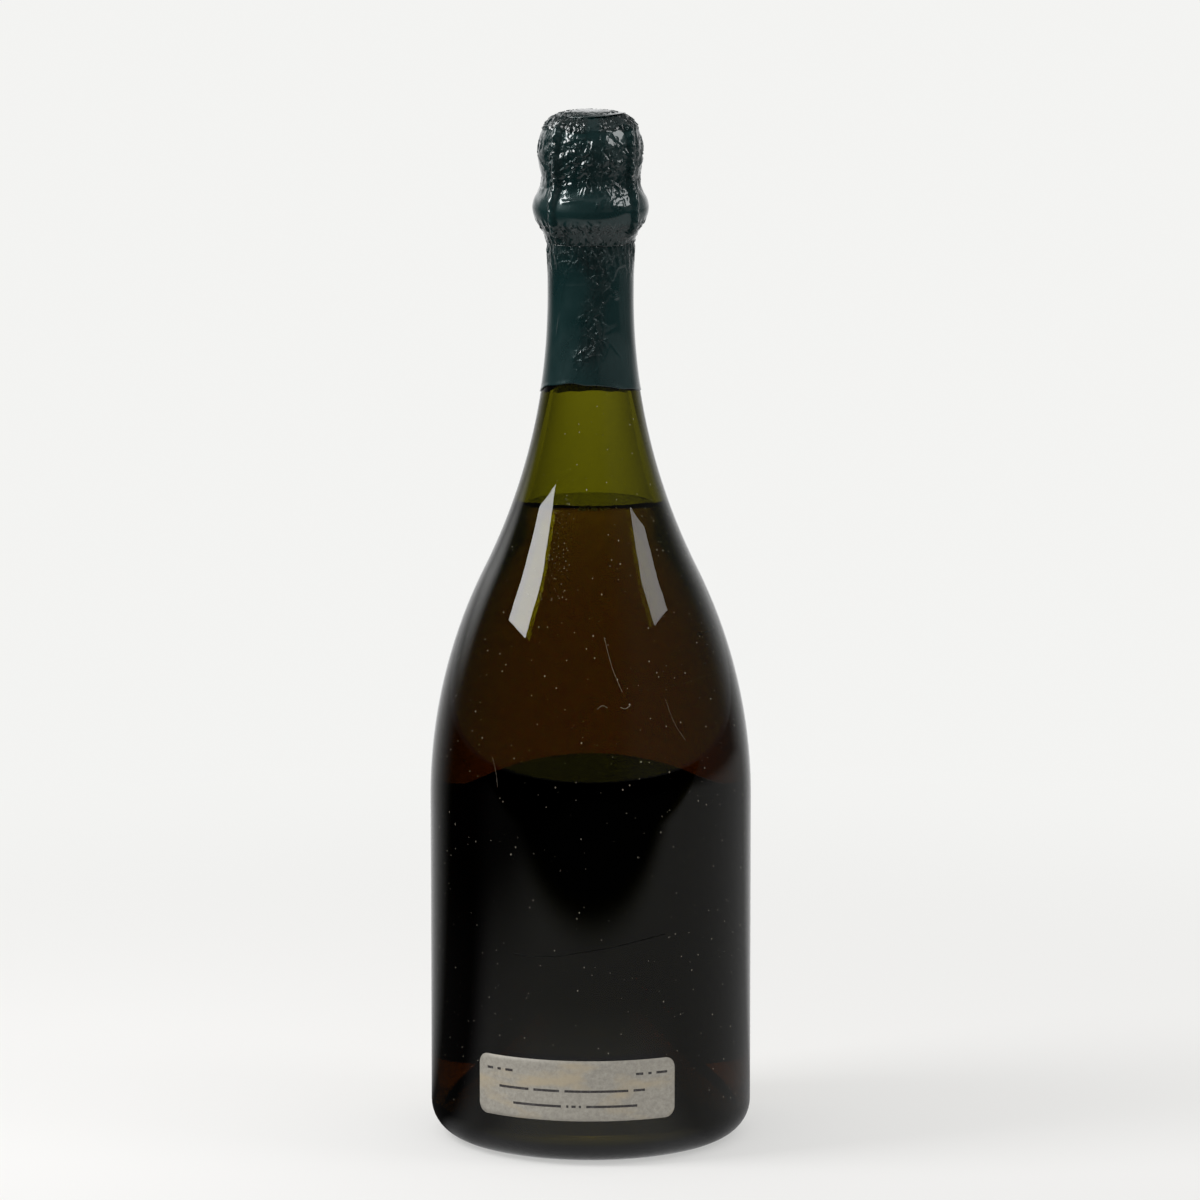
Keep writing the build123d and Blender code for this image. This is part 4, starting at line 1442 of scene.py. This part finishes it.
class BOTTLE_OT_cage(bpy.types.Operator):
    """Finish the belt and the ring of the cage, and twist the wire of its legs and loop"""

    bl_idname = "bottle.cage"
    bl_label = "Wire Cage"

    def execute(self, context):
        settings = context.scene.bottle
        wire = settings.wire
        material = wire_material(tuple(settings.finish.wire))
        tree = wire_tree()
        dress("cage_ring", material)
        dress("cage_belt", material)
        for index in range(wire.leg_count):
            turn = leg_turn(wire, index)
            points = [(r * cos(turn), r * sin(turn), z) for r, z in leg_path()]
            turns = run_length(points) / wire.pitch
            name = f"twisted_leg_{index + 1}"
            mesh = strand_mesh(name, points, tree, material, wire.strand_radius, 150, turns, 2)
            add_piece(mesh, "cage", material, [f"cage_leg_{index + 1}"])

        belt_height = (BELT_LOW.z + BELT_HIGH.z) / 2
        stem = [(0, STEM_LINE, belt_height + (STEM_TOP - belt_height) * step / 12) for step in range(13)]
        stem_mesh = strand_mesh("loop_stem", stem, tree, material, wire.loop_strand_radius, 90, 5.0, 2)
        eye = []
        for side, middle in ((1, EYE_LENGTH - EYE_BEND), (-1, EYE_BEND)):
            for angle in np.linspace(0, pi, 17):
                along = middle + side * EYE_BEND * sin(angle)
                place = (STEM_LINE - along * sin(EYE_LEAN), STEM_TOP + along * cos(EYE_LEAN))
                eye.append((side * EYE_BEND * cos(angle), *place))
        eye_mesh = strand_mesh("loop_eye", eye, tree, material, EYE_WIRE, 96, closed=True)
        mesh = joined("twisted_loop", [stem_mesh, eye_mesh])
        add_piece(mesh, "loop", material, ["wire_loop"])
        return {"FINISHED"}


def on_glass(glass, turn, height, lift):
    """Point on the glass at a turn from the front in degrees and a height."""
    radii, heights = zip(*outside_line(glass))
    radius = float(np.interp(height, heights, radii)) + lift
    angle = FRONT + radians(turn)
    return (radius * cos(angle), radius * sin(angle), height)


def haze_patch(glass):
    """Patch of the glass where the fine dust lies."""
    side = 15
    spread = np.linspace(-40, -12, side), np.linspace(160, 188, side) * MM
    turns, heights = np.meshgrid(*spread, indexing="ij")
    patch = [on_glass(glass, turn, height, 0) for turn, height in zip(turns.flat, heights.flat)]
    faces = [(a, a + side, a + side + 1, a + 1) for a in range((side - 1) * side) if a % side < side - 1]
    mesh = bpy.data.meshes.new("haze patch")
    mesh.from_pydata(patch, [], faces)
    return mesh


# Lines on the glass: degrees from the front and height in millimetres along each, and its wire's radius
SCRATCHES = (
    ([(6, 150.5), (9, 142), (12.5, 135.5)], 0.02),
    ([(2.5, 131), (4.5, 132), (6.5, 131.4)], 0.025),
    ([(11.5, 131.4), (13.5, 131), (15.5, 132)], 0.03),
    ([(-38, 116), (-36, 112), (-35, 108)], 0.012),
    ([(30, 133), (33, 126), (37, 121)], 0.012),
    ([(150, 128), (162, 121), (171, 119)], 0.02),
    ([(-120, 70), (-112, 62), (-108, 50)], 0.02),
)
# A near-black line drawn across the front of the body.
DARK_LINES = (
    ([(-28, 60.7), (-20, 60.4), (-10, 61.1), (-3, 62.2), (7, 63.4), (16, 64.9), (27, 66.4)], 0.15),
)


class BOTTLE_OT_wear(bpy.types.Operator):
    """Put dust specks, a patch of haze and hairline scratches on the glass"""

    bl_idname = "bottle.wear"
    bl_label = "Dust and Scratches"

    def execute(self, context):
        glass = context.scene.bottle.glass
        dust, nodes, shader = new_material("dust", base_color=(0.50, 0.46, 0.38), roughness=0.9)
        grain = nodes.noise(object_place(nodes), 900.0)
        nodes.give(shader.inputs["Base Color"], nodes.mix(grain, (0.22, 0.19, 0.15), (0.62, 0.57, 0.46)))
        skin = [(glass.body_radius, glass.heel_rounding + 4 * MM)]
        skin += [point for point in outside_line(glass) if point[1] < NECK_FOIL_LOW.z - 3 * MM]
        skin = np.array(skin)
        dusty = wrapped("glass skin", around_axis(skin[:, :1], round_angles(96), skin[:, 1:])[::-1])
        smallest = 0.03 * MM
        for name, surface, density, largest, seed in (
            ("dust_specks", dusty, 30000.0, 0.13 * MM, 3),
            ("dust_haze", haze_patch(glass), 500000.0, 0.08 * MM, 8),
        ):
            settings = {"Density": density, "Smallest": smallest, "Largest": largest}
            settings |= {"Seed": seed, "Material": dust}
            specks = evaluated(surface, speck_tree(), settings, name)
            add_piece(specks, "bottle", dust)

        # Near-black material for the dark line across the front of the glass.
        dark_line_material = ink_material("dark glass line", (0.002, 0.002, 0.002), thin=0.004, gloss=0.1)
        hair = wire_tree()
        for name, lines, material in (("glass_scratches", SCRATCHES, dust), ("glass_dark_lines", DARK_LINES, dark_line_material)):
            marks = []
            for turns, thick in lines:
                places = smooth_line([(turn, height * MM) for turn, height in turns], 36)
                points = [on_glass(glass, turn, height, -0.4 * thick * MM) for turn, height in places]
                marks.append(strand_mesh("scratch", points, hair, material, thick * MM, 36))
            add_piece(joined(name, marks), "bottle", material)
        return {"FINISHED"}


def faded(nodes, value, start, end, low, high):
    """A value brought smoothly from one range to another."""
    inputs = {"Value": value, "From Min": start, "From Max": end, "To Min": low, "To Max": high}
    return nodes.add("ShaderNodeMapRange", inputs, interpolation_type="SMOOTHSTEP").outputs[0]


def light_behind(nodes, y, level):
    """Grey of the pale backdrop behind the bottle, which fades out towards the sides."""
    share = nodes.math("DIVIDE", nodes.math("SUBTRACT", y, 0.4), 0.6, True)
    return nodes.times(share, share, level)


def studio_light(nodes, direction):
    """Grey of the studio as polished things see it: white behind, lamp-lit up on the left, dim in front."""
    x, y, z = nodes.add("ShaderNodeSeparateXYZ", {"Vector": direction}).outputs
    high = nodes.times(faded(nodes, z, -0.05, 0.24, 0.0, 1.05), faded(nodes, z, 0.40, 0.62, 1.0, 0.35))
    aside = faded(nodes, y, 0.46, 0.72, 0.0, 1.0)
    left = faded(nodes, x, -0.05, -0.30, 0.0, 1.0)
    lamp = nodes.times(left, high, aside)
    right = faded(nodes, x, 0.25, 0.65, 0.0, 0.05)
    above = faded(nodes, z, 0.70, 0.95, 0.03, 0.16)
    behind = nodes.times(light_behind(nodes, y, 0.9), faded(nodes, z, 0.15, 0.45, 1.0, 0.25))
    lit = nodes.math("MAXIMUM", behind, lamp)
    return nodes.math("ADD", nodes.math("ADD", lit, right), above)


def floor_material(backdrop):
    """Pale floor, painted darker towards the front as shade, that fades into the backdrop, and that polished
    things see as the studio lights it.
    """
    material, nodes, shader = new_material("floor", roughness=0.9, specular_ior_level=0.1)
    place = nodes.add("ShaderNodeTexCoord").outputs["Object"]
    across, inwards, _ = nodes.add("ShaderNodeSeparateXYZ", {"Vector": place}).outputs
    # Painted shade: the floor's colour darkens towards the front.
    paler = faded(nodes, inwards, -0.30, 0.0, 0.0, 1.0)
    nodes.give(shader.inputs["Base Color"], nodes.mix(paler, (0.68, 0.66, 0.67), (0.88, 0.87, 0.865)))
    reach = nodes.add("ShaderNodeVectorMath", {0: place}, operation="LENGTH").outputs["Value"]
    far = faded(nodes, reach, 0.14, 0.55, 0.5, 1.0)
    glossy = nodes.add("ShaderNodeLightPath").outputs["Is Glossy Ray"]
    outwards = nodes.add("ShaderNodeVectorMath", {0: place}, operation="NORMALIZE").outputs[0]
    ahead = nodes.add("ShaderNodeSeparateXYZ", {"Vector": outwards}).outputs[1]
    # For glossy rays the floor glows with painted light and shade: the backdrop's grey behind, a painted
    # highlight close in front of the foot, painted shadow to the left front of the bottle, and darkness
    # beyond the floor's front edge.
    front_edge = faded(nodes, inwards, -0.38, -0.28, 0.02, 1.0)
    to_left = faded(nodes, across, -0.44, -0.14, 0.1, 1.0)
    to_front = faded(nodes, ahead, 0.0, -0.42, 0.06, 1.0)
    to_right = faded(nodes, across, -0.012, 0.012, 0.0, 1.0)
    flagged = nodes.math("MAXIMUM", nodes.times(to_left, to_front), to_right)
    close = nodes.times(faded(nodes, reach, 0.07, 0.24, 0.3, 0.0), faded(nodes, ahead, -0.5, -0.9, 0.0, 1.0))
    near = nodes.times(nodes.math("ADD", close, 0.25), faded(nodes, reach, 0.9, 1.5, 1.0, 0.2))
    near = nodes.times(flagged, front_edge, near)
    mirrored = nodes.math("MAXIMUM", light_behind(nodes, ahead, 0.8), near)
    glow = nodes.add("ShaderNodeEmission", {"Color": nodes.mix(glossy, backdrop, mirrored), "Strength": 1.0})
    share = nodes.math("MAXIMUM", far, glossy)
    both = nodes.add("ShaderNodeMixShader", {0: share, 1: shader.outputs[0], 2: glow.outputs[0]})
    nodes.give(material.node_tree.nodes["Material Output"].inputs["Surface"], both.outputs[0])
    return material


def add_floor(scene, backdrop):
    """Lay a wide round floor, with its rings closer together near the bottle."""
    rings = 40
    sides = 96
    widest = 5.0
    sunk = -0.02 * MM
    reach = np.linspace(0, 1, rings)[1:] ** 2 * widest
    points = around_axis(reach[::-1, None], round_angles(sides), sunk)
    mesh = wrapped("studio_floor", points[::-1], True)
    floor = bpy.data.objects.new("studio_floor", mesh)
    scene.collection.objects.link(floor)
    mesh.materials.append(floor_material(backdrop))


def add_softbox(scene, name, turn, rise, size, level, roll):
    """Hang a soft lamp that faces the bottle. Its turn, rise and roll are in degrees."""
    width, height = size
    data = bpy.data.lights.new(name, "AREA")
    data.shape = "RECTANGLE"
    data.size = width
    data.size_y = height
    data.energy = level * pi * width * height
    lamp = bpy.data.objects.new(name, data)
    turn, rise = radians(turn), radians(rise)
    towards = Vector((cos(turn) * cos(rise), sin(turn) * cos(rise), sin(rise)))
    target = Vector((0, 0, 0.16))
    lamp.location = target + towards * 0.6
    facing = (-towards).to_track_quat("-Z", "Y")
    lamp.rotation_euler = (facing @ Quaternion((0, 0, 1), radians(roll))).to_euler()
    lamp.visible_camera = False
    scene.collection.objects.link(lamp)


class BOTTLE_OT_studio(bpy.types.Operator):
    """Set up the pale floor, the soft lamps, the backdrop and the camera"""

    bl_idname = "bottle.studio"
    bl_label = "Studio"

    def execute(self, context):
        scene = context.scene
        studio = scene.bottle.studio
        backdrop = tuple(studio.backdrop)

        camera = bpy.data.objects.new("camera", bpy.data.cameras.new("camera"))
        camera.data.lens = studio.lens
        camera.data.sensor_width = SENSOR_WIDTH
        camera.location = (studio.camera_side, -studio.distance, studio.camera_height)
        camera.rotation_euler = (pi / 2 - studio.pitch, 0, 0)
        scene.collection.objects.link(camera)
        scene.camera = camera

        world = bpy.data.worlds.new("studio world")
        scene.world = world
        world.use_nodes = True
        nodes = Nodes(world.node_tree)
        direction = nodes.add("ShaderNodeTexCoord").outputs["Generated"]
        ray = nodes.add("ShaderNodeLightPath").outputs
        clear = nodes.math("MAXIMUM", ray["Is Camera Ray"], ray["Is Transmission Ray"])
        seen = nodes.mix(ray["Is Glossy Ray"], (0.68, 0.68, 0.67), studio_light(nodes, direction))
        background = world.node_tree.nodes["Background"]
        nodes.give(background.inputs["Color"], nodes.mix(clear, seen, backdrop))
        background.inputs["Strength"].default_value = 1

        add_floor(scene, backdrop)
        add_softbox(scene, "left softbox", 196.0, 39.2, (0.234, 0.36), 9.0, 4.5)
        add_softbox(scene, "right softbox", 343.5, 40.0, (0.19, 0.32), 3.1, -4.0)
        scene.view_settings.view_transform = "Standard"
        return {"FINISHED"}


class BOTTLE_PT_parts(bpy.types.Panel):
    """Buttons and sizes of the bottle"""

    bl_idname = "BOTTLE_PT_parts"
    bl_label = "Champagne Bottle"
    bl_space_type = "VIEW_3D"
    bl_region_type = "UI"
    bl_category = "Bottle"

    def draw(self, context):
        settings = context.scene.bottle
        for operator in OPERATORS:
            self.layout.operator(operator.bl_idname)
        for name in settings.__annotations__:
            group = getattr(settings, name)
            box = self.layout.box()
            for key in group.__annotations__:
                box.prop(group, key)


SETTINGS = (
    GlassSettings,
    FoilSettings,
    WireSettings,
    LabelSettings,
    FinishSettings,
    StudioSettings,
    BottleSettings,
)
OPERATORS = (
    BOTTLE_OT_studio,
    BOTTLE_OT_glass,
    BOTTLE_OT_wine,
    BOTTLE_OT_labels,
    BOTTLE_OT_neck_foil,
    BOTTLE_OT_cork,
    BOTTLE_OT_cage,
    BOTTLE_OT_hood_foil,
    BOTTLE_OT_wear,
)
CLASSES = (*SETTINGS, *OPERATORS, BOTTLE_PT_parts)


def register():
    """Register the classes and the settings."""
    for item in CLASSES:
        bpy.utils.register_class(item)
    bpy.types.Scene.bottle = bpy.props.PointerProperty(type=BottleSettings)


def unregister():
    """Remove the settings and the classes."""
    del bpy.types.Scene.bottle
    for item in reversed(CLASSES):
        bpy.utils.unregister_class(item)


def main():
    """Build the whole scene."""
    register()
    for operator in OPERATORS:
        area, name = operator.bl_idname.split(".")
        getattr(getattr(bpy.ops, area), name)()


if __name__ == "__main__":
    main()
